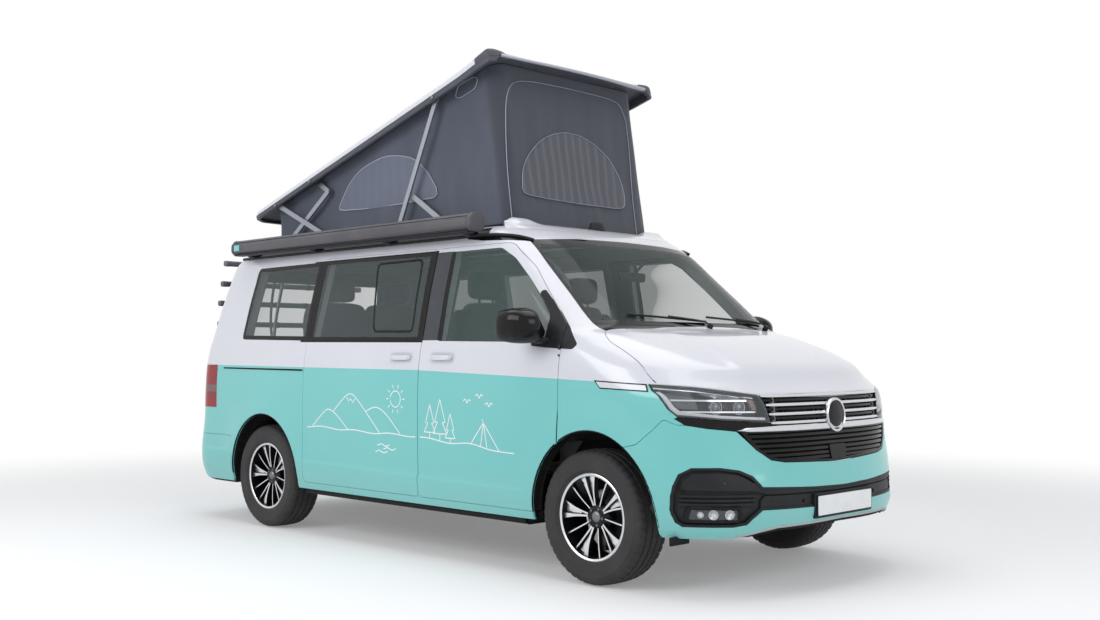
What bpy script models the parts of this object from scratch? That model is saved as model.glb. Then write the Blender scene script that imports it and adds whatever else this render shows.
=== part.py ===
# Camper van with a lifting roof, a side awning and a folding cycle carrier.
# Metres, +Z up, the front of the van towards -Y and its right side towards -X.
# Everything is drawn from the front axle and carried by one empty that centres the van.
import math

import bpy
import bmesh
from mathutils import Matrix, Vector

# Overall
WHEELBASE = 3.000
FRONT_REACH = -0.915
REAR_REACH = 4.140
DATUM_Y = -(FRONT_REACH + REAR_REACH) / 2
TRACK_HALF = 0.814
SEAT_GAP = 0.0003
SHUT_GAP = 0.006
WALL = 0.065

# Wheels
TYRE_RADIUS = 0.345
TYRE_HALF_WIDTH = 0.1175
RIM_RADIUS = 0.224
RIM_HALF_WIDTH = 0.100
HUB_RADIUS = 0.075
HUB_FACE = 0.840
SPOKES = 10
KINGPIN_X = 0.800
STEER_ARCH = (-0.030, 0.4185, 0.440)
REAR_ARCH = (2.985, 0.400, 0.420)
FRONT_WELL_X = 0.490
REAR_WELL_X = 0.690

# Body levels
BODY_BOTTOM = 0.300
FLOOR_LOW = 0.460
FLOOR_HIGH = 0.530
ROOF_PLATE = 1.905
FIREWALL_Y = 0.160
CAB_FLOOR_Y = 0.500
BUMPER_TOP = 0.830
REAR_BUMPER_TOP = 0.600
REAR_BUMPER_Y = 3.400

# Doors
DOOR_BOTTOM = 0.345
DOOR_TOP = 1.795
DOOR_FRONT_Y = 0.200
B_SEAM_Y = 1.335
C_SEAM_Y = 2.515
BELT = 1.250
TAILGATE_BOTTOM = 0.660
TAILGATE_TOP = 1.800
TAILGATE_HINGE = (3.742, 1.802)
BONNET_HINGE = (0.078, 1.322)
BONNET_WALL = 0.030

# Lifting roof
ROOF_PITCH = math.radians(16.6)
ROOF_TOP_CLOSED = 1.990
ROOF_HALF = 0.725
ROOF_FLANGE = 0.0235
ROOF_SKIN = 0.030
ROOF_PIVOT_DEPTH = 0.058
ROOF_FRONT = -2.366
ROOF_REAR = 0.370
LINK_FOOT = (2.450, 1.885)
LINK_HEAD = (3.217, 2.2237)
STRUT_HEAD = (1.490, 2.7385)
STRUT_FOOT = (1.862, 1.962)
BRACE_FOOT = (1.300, 1.885)
BRACE_HEAD = (1.734, 2.159)
ARM_FOOT = (3.231, 1.885)
ARM_HEAD = (2.655, 2.273)
ELBOW_HEAD = (2.798, 2.3529)
LINK_THICK = 0.013
LINK_HEIGHT = 0.034
LINK_CLEARANCE = 0.0055
PIN_RADIUS = 0.007
# three planes of links lie side by side in a channel just inside the roof's flange
PLANE_STEP = LINK_THICK + LINK_CLEARANCE
CHANNEL_OUT = ROOF_HALF - ROOF_FLANGE
PLANE_OUT = CHANNEL_OUT - PLANE_STEP
PLANE_MID = PLANE_OUT - PLANE_STEP
PLANE_IN = PLANE_MID - PLANE_STEP
CHANNEL_IN = PLANE_IN - LINK_CLEARANCE
CHANNEL_FLOOR = 1.850
CHANNEL_ENDS = (1.26, 3.32)

# Canvas and its rail
CANVAS_HALF = CHANNEL_IN - 0.0055
FRAME_HALF = CHANNEL_IN - 0.0065
CANVAS_FRONT = 0.885
CANVAS_REAR = 3.370
CANVAS_LEAN = 0.150
CANVAS_FOOT = 1.9303
HATCH_HALF = FRAME_HALF - 0.074
HATCH_ENDS = (1.05, 3.20)

# Body sections: height, half width, front y, front corner depth, rear y, rear corner depth
SECTIONS = [
    (0.270, 0.905, -0.840, 0.64, 3.930, 0.25),
    (0.330, 0.925, -0.885, 0.65, 3.975, 0.25),
    (0.420, 0.940, -0.905, 0.65, 3.995, 0.25),
    (0.520, 0.946, -0.903, 0.65, 3.990, 0.25),
    (0.600, 0.949, -0.885, 0.65, 3.965, 0.24),
    (0.720, 0.951, -0.865, 0.65, 3.935, 0.23),
    (0.900, 0.952, -0.845, 0.65, 3.925, 0.23),
    (0.965, 0.951, -0.830, 0.65, 3.922, 0.23),
    (1.000, 0.950, -0.795, 0.66, 3.921, 0.23),
    (1.040, 0.948, -0.755, 0.69, 3.920, 0.23),
    (1.100, 0.944, -0.705, 0.75, 3.917, 0.23),
    (1.160, 0.936, -0.595, 0.75, 3.913, 0.23),
    (1.220, 0.925, -0.440, 0.72, 3.905, 0.23),
    (1.270, 0.912, -0.260, 0.59, 3.898, 0.23),
    (1.305, 0.905, -0.095, 0.45, 3.890, 0.23),
    (1.330, 0.900, -0.045, 0.42, 3.884, 0.23),
    (1.500, 0.868, 0.165, 0.38, 3.840, 0.22),
    (1.650, 0.833, 0.345, 0.34, 3.795, 0.21),
    (1.800, 0.795, 0.525, 0.30, 3.740, 0.20),
    (1.840, 0.775, 0.580, 0.30, 3.710, 0.20),
    (1.875, 0.755, 0.640, 0.28, 3.665, 0.19),
    (1.895, 0.735, 0.690, 0.27, 3.625, 0.18),
    (ROOF_PLATE, 0.715, 0.730, 0.26, 3.595, 0.17),
]
FRONT_POWER = 2.7
REAR_POWER = 3.0
FRONT_STEPS = 8
REAR_STEPS = 5


def clear_scene():
    for thing in list(bpy.data.objects):
        bpy.data.objects.remove(thing)


clear_scene()
parts = bpy.data.collections.new("camper_van")
cutters = bpy.data.collections.new("cutters")
bpy.context.scene.collection.children.link(parts)
bpy.context.scene.collection.children.link(cutters)
datum = bpy.data.objects.new("van_datum", None)
datum.location = (0, DATUM_Y, 0)
parts.objects.link(datum)


def as_object(name, mesh):
    thing = bpy.data.objects.new(name, mesh)
    cutters.objects.link(thing)
    thing.hide_render = True
    thing.display_type = "WIRE"
    thing.parent = datum
    return thing


def from_bmesh(name, bm):
    bmesh.ops.recalc_face_normals(bm, faces=bm.faces)
    if bm.calc_volume(signed=True) < 0:
        bmesh.ops.reverse_faces(bm, faces=bm.faces)
    mesh = bpy.data.meshes.new(name)
    bm.to_mesh(mesh)
    bm.free()
    return as_object(name, mesh)


# Shapes

def box(name, low, high, bevel=0.0):
    bm = bmesh.new()
    bmesh.ops.create_cube(bm, size=1.0)
    size = Vector(high) - Vector(low)
    bmesh.ops.scale(bm, vec=size, verts=bm.verts)
    bmesh.ops.translate(bm, vec=(Vector(high) + Vector(low)) / 2, verts=bm.verts)
    if bevel:
        bmesh.ops.bevel(bm, geom=bm.edges[:], offset=bevel, segments=1, affect="EDGES", profile=0.5)
    return from_bmesh(name, bm)


def rod(name, start, end, radius, sides=16):
    bm = bmesh.new()
    start, end = Vector(start), Vector(end)
    turn = (end - start).to_track_quat("Z", "Y").to_matrix().to_4x4()
    place = Matrix.Translation((start + end) / 2) @ turn
    bmesh.ops.create_cone(bm, cap_ends=True, segments=sides, radius1=radius, radius2=radius,
                          depth=(end - start).length, matrix=place)
    return from_bmesh(name, bm)


def mesh_from_curve(name, curve):
    holder = bpy.data.objects.new(name, curve)
    cutters.objects.link(holder)
    bpy.context.view_layer.update()
    mesh = bpy.data.meshes.new_from_object(holder.evaluated_get(bpy.context.evaluated_depsgraph_get()))
    bpy.data.objects.remove(holder)
    bm = bmesh.new()
    bm.from_mesh(mesh)
    bmesh.ops.remove_doubles(bm, verts=bm.verts, dist=0.00001)
    bpy.data.meshes.remove(mesh)
    return bm


# The views an outline is drawn in: side is (y, z), front is (x, z), plan is (x, y)
VIEWS = {
    "side": Matrix(((0, 0, 1, 0), (1, 0, 0, 0), (0, 1, 0, 0), (0, 0, 0, 1))),
    "front": Matrix(((1, 0, 0, 0), (0, 0, 1, 0), (0, 1, 0, 0), (0, 0, 0, 1))),
    "plan": Matrix.Identity(4),
}


def prism(name, outline, view, low, high):
    curve = bpy.data.curves.new(name, "CURVE")
    curve.dimensions = "2D"
    curve.fill_mode = "BOTH"
    curve.extrude = (high - low) / 2
    spline = curve.splines.new("POLY")
    spline.points.add(len(outline) - 1)
    for point, (u, v) in zip(spline.points, outline):
        point.co = (u, v, 0, 1)
    spline.use_cyclic_u = True
    bm = mesh_from_curve(name, curve)
    bm.transform(VIEWS[view] @ Matrix.Translation((0, 0, (high + low) / 2)))
    return from_bmesh(name, bm)


def tube(name, route, radius, rounds=2):
    curve = bpy.data.curves.new(name, "CURVE")
    curve.dimensions = "3D"
    curve.bevel_depth = radius
    curve.bevel_resolution = rounds
    curve.use_fill_caps = True
    spline = curve.splines.new("POLY")
    spline.points.add(len(route) - 1)
    for point, place in zip(spline.points, route):
        point.co = (*place, 1)
    return from_bmesh(name, mesh_from_curve(name, curve))


def turned(name, profile, sides=32):
    # profile rows: radius, distance along X; a closed loop turned about the X axis
    bm = bmesh.new()
    loop = [bm.verts.new((x, 0, radius)) for radius, x in profile]
    edges = [bm.edges.new((loop[i], loop[(i + 1) % len(loop)])) for i in range(len(loop))]
    bmesh.ops.spin(bm, geom=loop + edges, cent=(0, 0, 0), axis=(1, 0, 0), angle=2 * math.pi,
                   steps=sides, use_merge=True)
    bmesh.ops.remove_doubles(bm, verts=bm.verts, dist=0.00001)
    return from_bmesh(name, bm)


def offset(outline, distance):
    # moves each side of an outline outwards by the distance, with mitred corners
    count = len(outline)
    area = sum(outline[i][0] * outline[(i + 1) % count][1] - outline[(i + 1) % count][0] * outline[i][1]
               for i in range(count))
    way = 1 if area > 0 else -1
    moved = []
    for i in range(count):
        before = Vector(outline[i]) - Vector(outline[i - 1])
        after = Vector(outline[(i + 1) % count]) - Vector(outline[i])
        out_before = Vector((before.y, -before.x)).normalized() * way
        out_after = Vector((after.y, -after.x)).normalized() * way
        middle = (out_before + out_after).normalized()
        step = distance / max(0.35, middle.dot(out_after))
        moved.append((outline[i][0] + middle.x * step, outline[i][1] + middle.y * step))
    return moved


def cut(thing, *tools):
    for tool in tools:
        step = thing.modifiers.new("cut " + tool.name, "BOOLEAN")
        step.operation = "DIFFERENCE"
        step.object = tool
    return thing


def keep(thing, *tools):
    for tool in tools:
        step = thing.modifiers.new("keep " + tool.name, "BOOLEAN")
        step.operation = "INTERSECT"
        step.object = tool
    return thing


def join(thing, *tools):
    for tool in tools:
        step = thing.modifiers.new("join " + tool.name, "BOOLEAN")
        step.operation = "UNION"
        step.object = tool
    return thing


MATERIALS = {
    # finish: red, green, blue, metallic, roughness
    "white_paint": (0.80, 0.80, 0.81, 0.0, 0.30),
    "mint_paint": (0.20, 0.74, 0.66, 0.0, 0.30),
    "black_plastic": (0.03, 0.03, 0.035, 0.0, 0.55),
    "dark_glass": (0.04, 0.05, 0.055, 0.0, 0.08),
    "clear_glass": (0.25, 0.29, 0.29, 0.0, 0.06),
    "lamp_glass": (0.65, 0.68, 0.70, 0.0, 0.08),
    "red_lens": (0.55, 0.03, 0.03, 0.0, 0.15),
    "rubber": (0.025, 0.025, 0.027, 0.0, 0.85),
    "machined_alloy": (0.55, 0.56, 0.58, 1.0, 0.30),
    "grey_alloy": (0.42, 0.43, 0.45, 1.0, 0.40),
    "anthracite": (0.07, 0.075, 0.085, 0.3, 0.45),
    "canvas": (0.10, 0.12, 0.15, 0.0, 0.90),
    "seat_cloth": (0.12, 0.12, 0.13, 0.0, 0.90),
    "pale_board": (0.50, 0.49, 0.46, 0.0, 0.60),
    "steel": (0.20, 0.20, 0.21, 0.8, 0.55),
}


def finish(thing, material, name=None):
    if name:
        thing.name = name
        thing.data.name = name
    shade = bpy.data.materials.get(material)
    if shade is None:
        shade = bpy.data.materials.new(material)
        shade.use_nodes = True
        red, green, blue, metallic, roughness = MATERIALS[material]
        surface = shade.node_tree.nodes["Principled BSDF"]
        surface.inputs["Base Color"].default_value = (red, green, blue, 1)
        surface.inputs["Metallic"].default_value = metallic
        surface.inputs["Roughness"].default_value = roughness
    thing.data.materials.clear()
    thing.data.materials.append(shade)
    cutters.objects.unlink(thing)
    parts.objects.link(thing)
    thing.hide_render = False
    thing.display_type = "TEXTURED"
    return thing


def body_axis(name, pivot, parent, *pieces):
    # an empty on the joint's axis carries the pieces that move about it
    axis = bpy.data.objects.new(name, None)
    parts.objects.link(axis)
    home = parent["pivot"] if parent else (0.0, 0.0, 0.0)
    axis["pivot"] = pivot
    axis.parent = parent if parent else datum
    axis.location = Vector(pivot) - Vector(home)
    for piece in pieces:
        piece.parent = axis
        piece.location = piece.location - Vector(pivot)
    return axis


# The body's outer form

def section(level, inset=0.0, drop=0.0, shift=None):
    height, half, front, front_deep, rear, rear_deep = level
    shift = inset if shift is None else shift
    half -= inset
    front += shift
    rear -= inset
    right = []
    for step in range(FRONT_STEPS + 1):
        angle = math.pi / 2 * step / FRONT_STEPS
        x = half * math.sin(angle) ** (2 / FRONT_POWER)
        y = front + front_deep * (1 - max(0.0, math.cos(angle)) ** (2 / FRONT_POWER))
        right.append((x, y))
    for step in range(REAR_STEPS + 1):
        angle = math.pi / 2 * (1 - step / REAR_STEPS)
        x = half * math.sin(angle) ** (2 / REAR_POWER)
        y = rear - rear_deep * (1 - max(0.0, math.cos(angle)) ** (2 / REAR_POWER))
        right.append((x, y))
    left = [(-x, y) for x, y in reversed(right[1:-1])]
    return [(x, y, height - drop) for x, y in right + left]


def hull(name, inset=0.0, drop=0.0, shift=None, foot=None):
    bm = bmesh.new()
    rings = []
    for index, level in enumerate(SECTIONS):
        points = section(level, inset, drop, shift)
        if index == 0 and foot is not None:
            points = [(x, y, foot) for x, y, z in points]
        rings.append([bm.verts.new(point) for point in points])
    bm.faces.new(rings[0])
    bm.faces.new(rings[-1])
    for lower, upper in zip(rings, rings[1:]):
        for i in range(len(lower)):
            j = (i + 1) % len(lower)
            bm.faces.new((lower[i], lower[j], upper[j], upper[i]))
    return from_bmesh(name, bm)


FAR = 1.30
under_skin = hull("under_skin", WALL, 0.060, 0.035, foot=0.10)
glass_in = hull("glass_in", 0.011, 0.011, foot=0.20)
lining = hull("lining", 0.014, 0.014, foot=0.20)
bonnet_under = hull("bonnet_under", BONNET_WALL, BONNET_WALL, 0.016, foot=0.10)
wing_top = hull("wing_top", BONNET_WALL + 0.006, BONNET_WALL + 0.006, 0.020, foot=0.10)
bumper_inner = hull("bumper_inner", 0.060, 0.0, 0.060, foot=0.10)
grille_inner = hull("grille_inner", 0.045, 0.0, 0.045, foot=0.10)
lamp_inner = hull("lamp_inner", 0.100, 0.030, 0.090, foot=0.10)
grille_bed = hull("grille_bed", 0.018, 0.0, 0.018, foot=0.10)


def arch(middle, half, height, grow=0.0):
    # a wheel arch in side view, open downwards
    steps = 18
    top = [(middle - (half + grow) * math.cos(math.pi * i / steps),
            TYRE_RADIUS + (height + grow) * math.sin(math.pi * i / steps)) for i in range(steps + 1)]
    return [(middle - half - grow, 0.05)] + top + [(middle + half + grow, 0.05)]


def both_sides(name, outline, near, far):
    one = prism(name + "_a", outline, "side", near, far)
    two = prism(name + "_b", outline, "side", -far, -near)
    return [one, two]


front_wells = both_sides("front_well", arch(*STEER_ARCH), FRONT_WELL_X, FAR)
rear_wells = both_sides("rear_well", arch(*REAR_ARCH), REAR_WELL_X, FAR)
WHEEL_BOX = (REAR_ARCH[0] - REAR_ARCH[1] - 0.03, REAR_ARCH[0] + REAR_ARCH[1] + 0.03,
             TYRE_RADIUS + REAR_ARCH[2] + 0.03)


def wheel_boxes(name, grow):
    y0, y1, top = WHEEL_BOX
    near = REAR_WELL_X - 0.03 - grow
    return [box(name + "_a", (near, y0 - grow, 0.0), (FAR, y1 + grow, top + grow)),
            box(name + "_b", (-FAR, y0 - grow, 0.0), (-near, y1 + grow, top + grow))]


# Cabin space, firewall and engine bay
CABIN_SIDE = [(CAB_FLOOR_Y, 0.05), (CAB_FLOOR_Y, 0.80), (FIREWALL_Y, 0.80), (FIREWALL_Y, 1.235),
              (-0.20, 1.60), (-0.20, 2.20), (4.30, 2.20), (4.30, 0.05)]
cabin = hull("cabin", WALL, 0.060, 0.035, foot=0.10)
keep(cabin, prism("cabin_side", CABIN_SIDE, "side", -FAR, FAR))
cut(cabin, *wheel_boxes("wheel_box", 0.0))

ENGINE_BAY_HALF = 0.460
ENGINE_BAY_SIDE = [(-0.66, 0.05), (FIREWALL_Y - 0.06, 0.05), (FIREWALL_Y - 0.06, 1.15),
                   (-0.12, 1.20), (-0.14, 1.60), (-0.66, 1.60)]
engine_bay = prism("engine_bay", ENGINE_BAY_SIDE, "side", -ENGINE_BAY_HALF, ENGINE_BAY_HALF)

# Bumpers
BUMPER_FRONT_SIDE = [(-1.20, 0.10), (-0.10, 0.10), (-0.20, 0.70), (-0.340, 0.731), (-0.479, 0.856),
                     (-0.540, BUMPER_TOP), (-1.20, BUMPER_TOP)]
BUMPER_REAR_SIDE = [(REAR_BUMPER_Y, 0.10), (4.30, 0.10), (4.30, REAR_BUMPER_TOP),
                    (REAR_BUMPER_Y, REAR_BUMPER_TOP)]
front_zone = prism("front_zone", offset(BUMPER_FRONT_SIDE, SEAT_GAP), "side", -FAR, FAR)
rear_zone = prism("rear_zone", offset(BUMPER_REAR_SIDE, SEAT_GAP), "side", -FAR, FAR)

# Grille and lamps in front view, right half mirrored
GRILLE_HALF = [(0.0, 0.955), (0.46, 0.962), (0.47, 0.84), (0.78, 0.826), (0.74, 0.74), (0.52, 0.645),
               (0.0, 0.635)]
GRILLE = GRILLE_HALF + [(-x, z) for x, z in reversed(GRILLE_HALF[1:-1])]
LAMP = [(0.4606, 0.9625), (0.700, 1.010), (0.880, 1.045), (0.99, 1.060), (0.99, 0.880), (0.84, 0.850),
        (0.4706, 0.8425)]
LAMP_BACK = -0.360
TAIL_LAMP = [(0.772, 0.796), (1.05, 0.796), (1.05, 1.094), (0.772, 1.094)]
TAIL_LAMP_FRONT = 3.600


def mirror_outline(outline):
    return [(-x, z) for x, z in reversed(outline)]


def pocket(name, outline, low, high, inner, grow=SEAT_GAP):
    # the room that a flush piece takes in the skin, down to its own back
    return cut(prism(name, offset(outline, grow), "front", low, high), inner)


grille_back = hull("grille_back", 0.0453, 0.0, 0.0453, foot=0.10)
lamp_back = hull("lamp_back", 0.103, 0.033, 0.093, foot=0.10)
grille_room = pocket("grille_room", GRILLE, -1.3, -0.50, grille_back)
lamp_rooms = [pocket("lamp_room_a", LAMP, -1.3, LAMP_BACK + SEAT_GAP, lamp_back),
              pocket("lamp_room_b", mirror_outline(LAMP), -1.3, LAMP_BACK + SEAT_GAP, lamp_back)]
tail_rooms = [pocket("tail_room_a", TAIL_LAMP, TAIL_LAMP_FRONT - SEAT_GAP, 4.3, lamp_back),
              pocket("tail_room_b", mirror_outline(TAIL_LAMP), TAIL_LAMP_FRONT - SEAT_GAP, 4.3, lamp_back)]

# Bonnet in plan, right half mirrored
BONNET_HALF = [(0.0, -0.095), (0.55, -0.060), (0.790, 0.020), (0.850, -0.060), (0.872, -0.270),
               (0.860, -0.400), (0.780, -0.560), (0.620, -0.690), (0.460, -0.757), (0.25, -0.800),
               (0.0, -0.812)]
BONNET = BONNET_HALF + [(-x, y) for x, y in reversed(BONNET_HALF[1:-1])]
bonnet_room = prism("bonnet_room", offset(BONNET, SHUT_GAP), "plan", 0.9655, 1.60)
cut(bonnet_room, wing_top)

# Doors in side view
FRONT_DOOR = [(DOOR_FRONT_Y, DOOR_BOTTOM), (B_SEAM_Y, DOOR_BOTTOM), (B_SEAM_Y, 1.20),
              (B_SEAM_Y - 0.010, DOOR_TOP), (0.707, DOOR_TOP), (0.520, 1.651), (0.308, 1.433),
              (DOOR_FRONT_Y, 1.325)]
SLIDING_DOOR = [(B_SEAM_Y + 0.007, DOOR_BOTTOM), (C_SEAM_Y, DOOR_BOTTOM), (C_SEAM_Y, 1.10),
                (C_SEAM_Y - 0.012, DOOR_TOP), (B_SEAM_Y + 0.004, DOOR_TOP), (B_SEAM_Y + 0.007, 1.20)]
FRONT_WINDOW = [(0.335, 1.226), (1.190, BELT), (1.180, 1.768), (0.795, 1.768), (0.680, 1.715),
                (0.500, 1.570), (0.395, 1.460), (0.320, 1.365)]
SLIDING_WINDOW = [(1.375, BELT + 0.012), (2.465, BELT + 0.022), (2.440, 1.775), (1.385, 1.775)]
QUARTER_WINDOW = [(2.545, BELT + 0.022), (3.320, BELT + 0.034), (3.270, 1.770), (2.520, 1.775)]
LEFT_GLASS = [(1.385, BELT + 0.012), (3.320, BELT + 0.034), (3.270, 1.770), (1.390, 1.775)]
LEFT_MID = [(1.400, BELT + 0.028), (2.430, BELT + 0.036), (2.410, 1.755), (1.405, 1.755)]
LEFT_QUARTER = [(2.560, BELT + 0.040), (3.300, BELT + 0.050), (3.250, 1.752), (2.540, 1.755)]

front_door_rooms = [prism("door_room_r", offset(FRONT_DOOR, SHUT_GAP), "side", -FAR, -0.60),
                    prism("door_room_l", offset(FRONT_DOOR, SHUT_GAP), "side", 0.60, FAR)]
sliding_room = prism("sliding_room", offset(SLIDING_DOOR, SEAT_GAP), "side", -FAR, -0.60)
quarter_cut = prism("quarter_cut", QUARTER_WINDOW, "side", -FAR, -0.50)
left_recess = cut(prism("left_recess", LEFT_GLASS, "side", 0.50, FAR), lining)
left_cuts = [prism("left_mid_cut", LEFT_MID, "side", 0.50, FAR),
             prism("left_quarter_cut", LEFT_QUARTER, "side", 0.50, FAR)]

# Windscreen, tailgate and its window in front view
SCREEN = [(-0.800, 1.335), (-0.30, 1.332), (0.30, 1.332), (0.800, 1.335), (0.700, 1.800), (0.40, 1.826),
          (-0.40, 1.826), (-0.700, 1.800)]
TAILGATE = [(-0.760, TAILGATE_BOTTOM), (0.760, TAILGATE_BOTTOM), (0.765, 1.10), (0.740, 1.40),
            (0.665, TAILGATE_TOP), (-0.665, TAILGATE_TOP), (-0.740, 1.40), (-0.765, 1.10)]
TAILGATE_WINDOW = [(-0.640, 1.270), (0.640, 1.270), (0.585, 1.710), (-0.585, 1.710)]
screen_cut = prism("screen_cut", SCREEN, "front", -0.60, 1.00)
tailgate_room = prism("tailgate_room", offset(TAILGATE, SHUT_GAP), "front", 3.30, 4.40)
tailgate_window_cut = prism("tailgate_window_cut", TAILGATE_WINDOW, "front", 3.30, 4.40)

# Roof opening and the channels that the roof links fold into
ABOVE_ROOF = ROOF_PLATE + 0.200
hatch = box("hatch", (-HATCH_HALF, HATCH_ENDS[0], 1.60), (HATCH_HALF, HATCH_ENDS[1], ABOVE_ROOF))
channels = [box("channel_a", (CHANNEL_IN, CHANNEL_ENDS[0], CHANNEL_FLOOR),
                (CHANNEL_OUT, CHANNEL_ENDS[1], ABOVE_ROOF)),
            box("channel_b", (-CHANNEL_OUT, CHANNEL_ENDS[0], CHANNEL_FLOOR),
                (-CHANNEL_IN, CHANNEL_ENDS[1], ABOVE_ROOF))]
axle_notches = [box("axle_notch", (x, WHEELBASE - 0.05, 0.0),
                    (x + 0.12, WHEELBASE + 0.05, TYRE_RADIUS + 0.05)) for x in (-0.74, 0.62)]
underside = box("underside", (-FAR, -2.0, 0.0), (FAR, 5.0, BODY_BOTTOM))

body_shell = hull("body_shell")
cut(body_shell, cabin, engine_bay, front_zone, rear_zone, bonnet_room, grille_room, *lamp_rooms)
cut(body_shell, *front_door_rooms, sliding_room, quarter_cut, left_recess, *left_cuts, screen_cut)
cut(body_shell, tailgate_room, *tail_rooms, hatch, *channels)
cut(body_shell, *front_wells, *rear_wells, *axle_notches, underside)
finish(body_shell, "white_paint")

# Floor
floor_pan = hull("floor_pan", WALL + SEAT_GAP, 0.0, 0.035, foot=0.10)
keep(floor_pan, box("floor_slab", (-FAR, CAB_FLOOR_Y + SEAT_GAP, FLOOR_LOW), (FAR, 3.85, FLOOR_HIGH)))
cut(floor_pan, *wheel_boxes("floor_box", SEAT_GAP))
finish(floor_pan, "steel")

# Bumpers
FOG_ROOM = [(0.60, 0.36), (0.86, 0.37), (0.90, 0.60), (0.84, 0.60), (0.62, 0.44)]
bumper_front = hull("bumper_front")
cut(bumper_front, bumper_inner)
keep(bumper_front, prism("front_skin", BUMPER_FRONT_SIDE, "side", -FAR, FAR))
fog_bed = hull("fog_bed", 0.028, 0.0, 0.028, foot=0.10)
fog_rooms = [cut(prism("fog_a", FOG_ROOM, "front", -1.3, -0.40), fog_bed),
             cut(prism("fog_b", mirror_outline(FOG_ROOM), "front", -1.3, -0.40), fog_bed)]
cut(bumper_front, grille_room, *lamp_rooms, *front_wells, *fog_rooms)
join(bumper_front, box("plate", (-0.26, FRONT_REACH, 0.368), (0.26, -0.885, 0.478)))
finish(bumper_front, "mint_paint")

bumper_rear = cut(hull("bumper_rear"), bumper_inner)
keep(bumper_rear, prism("rear_skin", BUMPER_REAR_SIDE, "side", -FAR, FAR))
finish(bumper_rear, "mint_paint")

# Grille: a curved panel with a slot between each pair of bars
grille = cut(hull("grille"), grille_inner)
keep(grille, prism("grille_face", GRILLE, "front", -1.3, -0.50))
SLOTS = [
    # low, high, half length
    (0.660, 0.682, 0.50),
    (0.694, 0.716, 0.57),
    (0.728, 0.750, 0.64),
    (0.762, 0.784, 0.70),
    (0.850, 0.872, 0.44),
    (0.884, 0.906, 0.44),
    (0.918, 0.940, 0.44),
]
for number, (low, high, half) in enumerate(SLOTS):
    slot = box(f"slot_{number}", (-half, -1.2, low), (half, -0.40, high))
    cut(grille, cut(slot, grille_bed))
join(grille, rod("emblem", (0, -0.880, 0.863), (0, -0.835, 0.863), 0.080, 24))
finish(grille, "black_plastic")


def lamp(name, outline, low, high, material):
    piece = cut(hull(name), lamp_inner)
    keep(piece, prism(name + "_face", outline, "front", low, high))
    return finish(piece, material)


lamp("headlamp_left", LAMP, -1.3, LAMP_BACK, "lamp_glass")
lamp("headlamp_right", mirror_outline(LAMP), -1.3, LAMP_BACK, "lamp_glass")
for lamp_name in ("headlamp_left", "headlamp_right"):
    cut(bpy.data.objects[lamp_name], bonnet_room)
lamp("tail_lamp_left", TAIL_LAMP, TAIL_LAMP_FRONT, 4.3, "red_lens")
lamp("tail_lamp_right", mirror_outline(TAIL_LAMP), TAIL_LAMP_FRONT, 4.3, "red_lens")


def pane(name, outline, view, low, high, material):
    piece = cut(hull(name, 0.003, 0.003), glass_in)
    keep(piece, prism(name + "_edge", offset(outline, -SEAT_GAP), view, low, high))
    return finish(piece, material)


pane("windscreen", SCREEN, "front", -0.60, 1.00, "clear_glass")
pane("side_glass_left", LEFT_GLASS, "side", 0.50, FAR, "dark_glass")
pane("quarter_glass_right", QUARTER_WINDOW, "side", -FAR, -0.50, "dark_glass")
pane("sliding_door_glass", SLIDING_WINDOW, "side", -FAR, -0.50, "dark_glass")


# Doors, bonnet and tailgate
def skin_panel(name, outline, view, low, high, inner, material):
    piece = cut(hull(name), inner)
    keep(piece, prism(name + "_edge", outline, view, low, high))
    return finish(piece, material)


sliding_door = skin_panel("sliding_door", SLIDING_DOOR, "side", -FAR, -0.60, under_skin, "mint_paint")
cut(sliding_door, prism("sliding_window_cut", SLIDING_WINDOW, "side", -FAR, -0.50))

HINGE_X = 0.952
HINGE_HEIGHTS = (0.80, 1.16)
MIRROR_LOW = (0.985, 0.265, 1.225)
MIRROR_HIGH = (1.148, 0.465, 1.420)


def front_door(side, sign):
    low, high = (0.60, FAR) if sign > 0 else (-FAR, -0.60)
    door = skin_panel("front_door_" + side, FRONT_DOOR, "side", low, high, under_skin, "mint_paint")
    cut(door, prism("window_cut_" + side, FRONT_WINDOW, "side", low, high))
    cut(door, front_wells[0] if sign > 0 else front_wells[1])
    for height in HINGE_HEIGHTS:
        x0, x1 = sorted((sign * (HINGE_X - 0.030), sign * (HINGE_X - 0.012)))
        join(door, box("hinge_" + side, (x0, DOOR_FRONT_Y - SHUT_GAP + SEAT_GAP, height),
                       (x1, DOOR_FRONT_Y + 0.010, height + 0.06)))
    glass = pane("front_glass_" + side, FRONT_WINDOW, "side", low, high, "clear_glass")
    x0, x1 = sorted((sign * MIRROR_LOW[0], sign * MIRROR_HIGH[0]))
    mirror = box("mirror_" + side, (x0, *MIRROR_LOW[1:]), (x1, *MIRROR_HIGH[1:]), 0.03)
    x0, x1 = sorted((sign * 0.80, sign * (MIRROR_LOW[0] + 0.05)))
    stalk = box("stalk_" + side, (x0, 0.300, 1.236), (x1, 0.360, 1.262))
    join(mirror, cut(stalk, hull("stalk_bed_" + side, -SEAT_GAP, -SEAT_GAP)))
    finish(mirror, "black_plastic")
    body_axis("front_door_axis_" + side, (sign * HINGE_X, DOOR_FRONT_Y, 1.0), None, door, glass, mirror)


front_door("left", 1)
front_door("right", -1)

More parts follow.
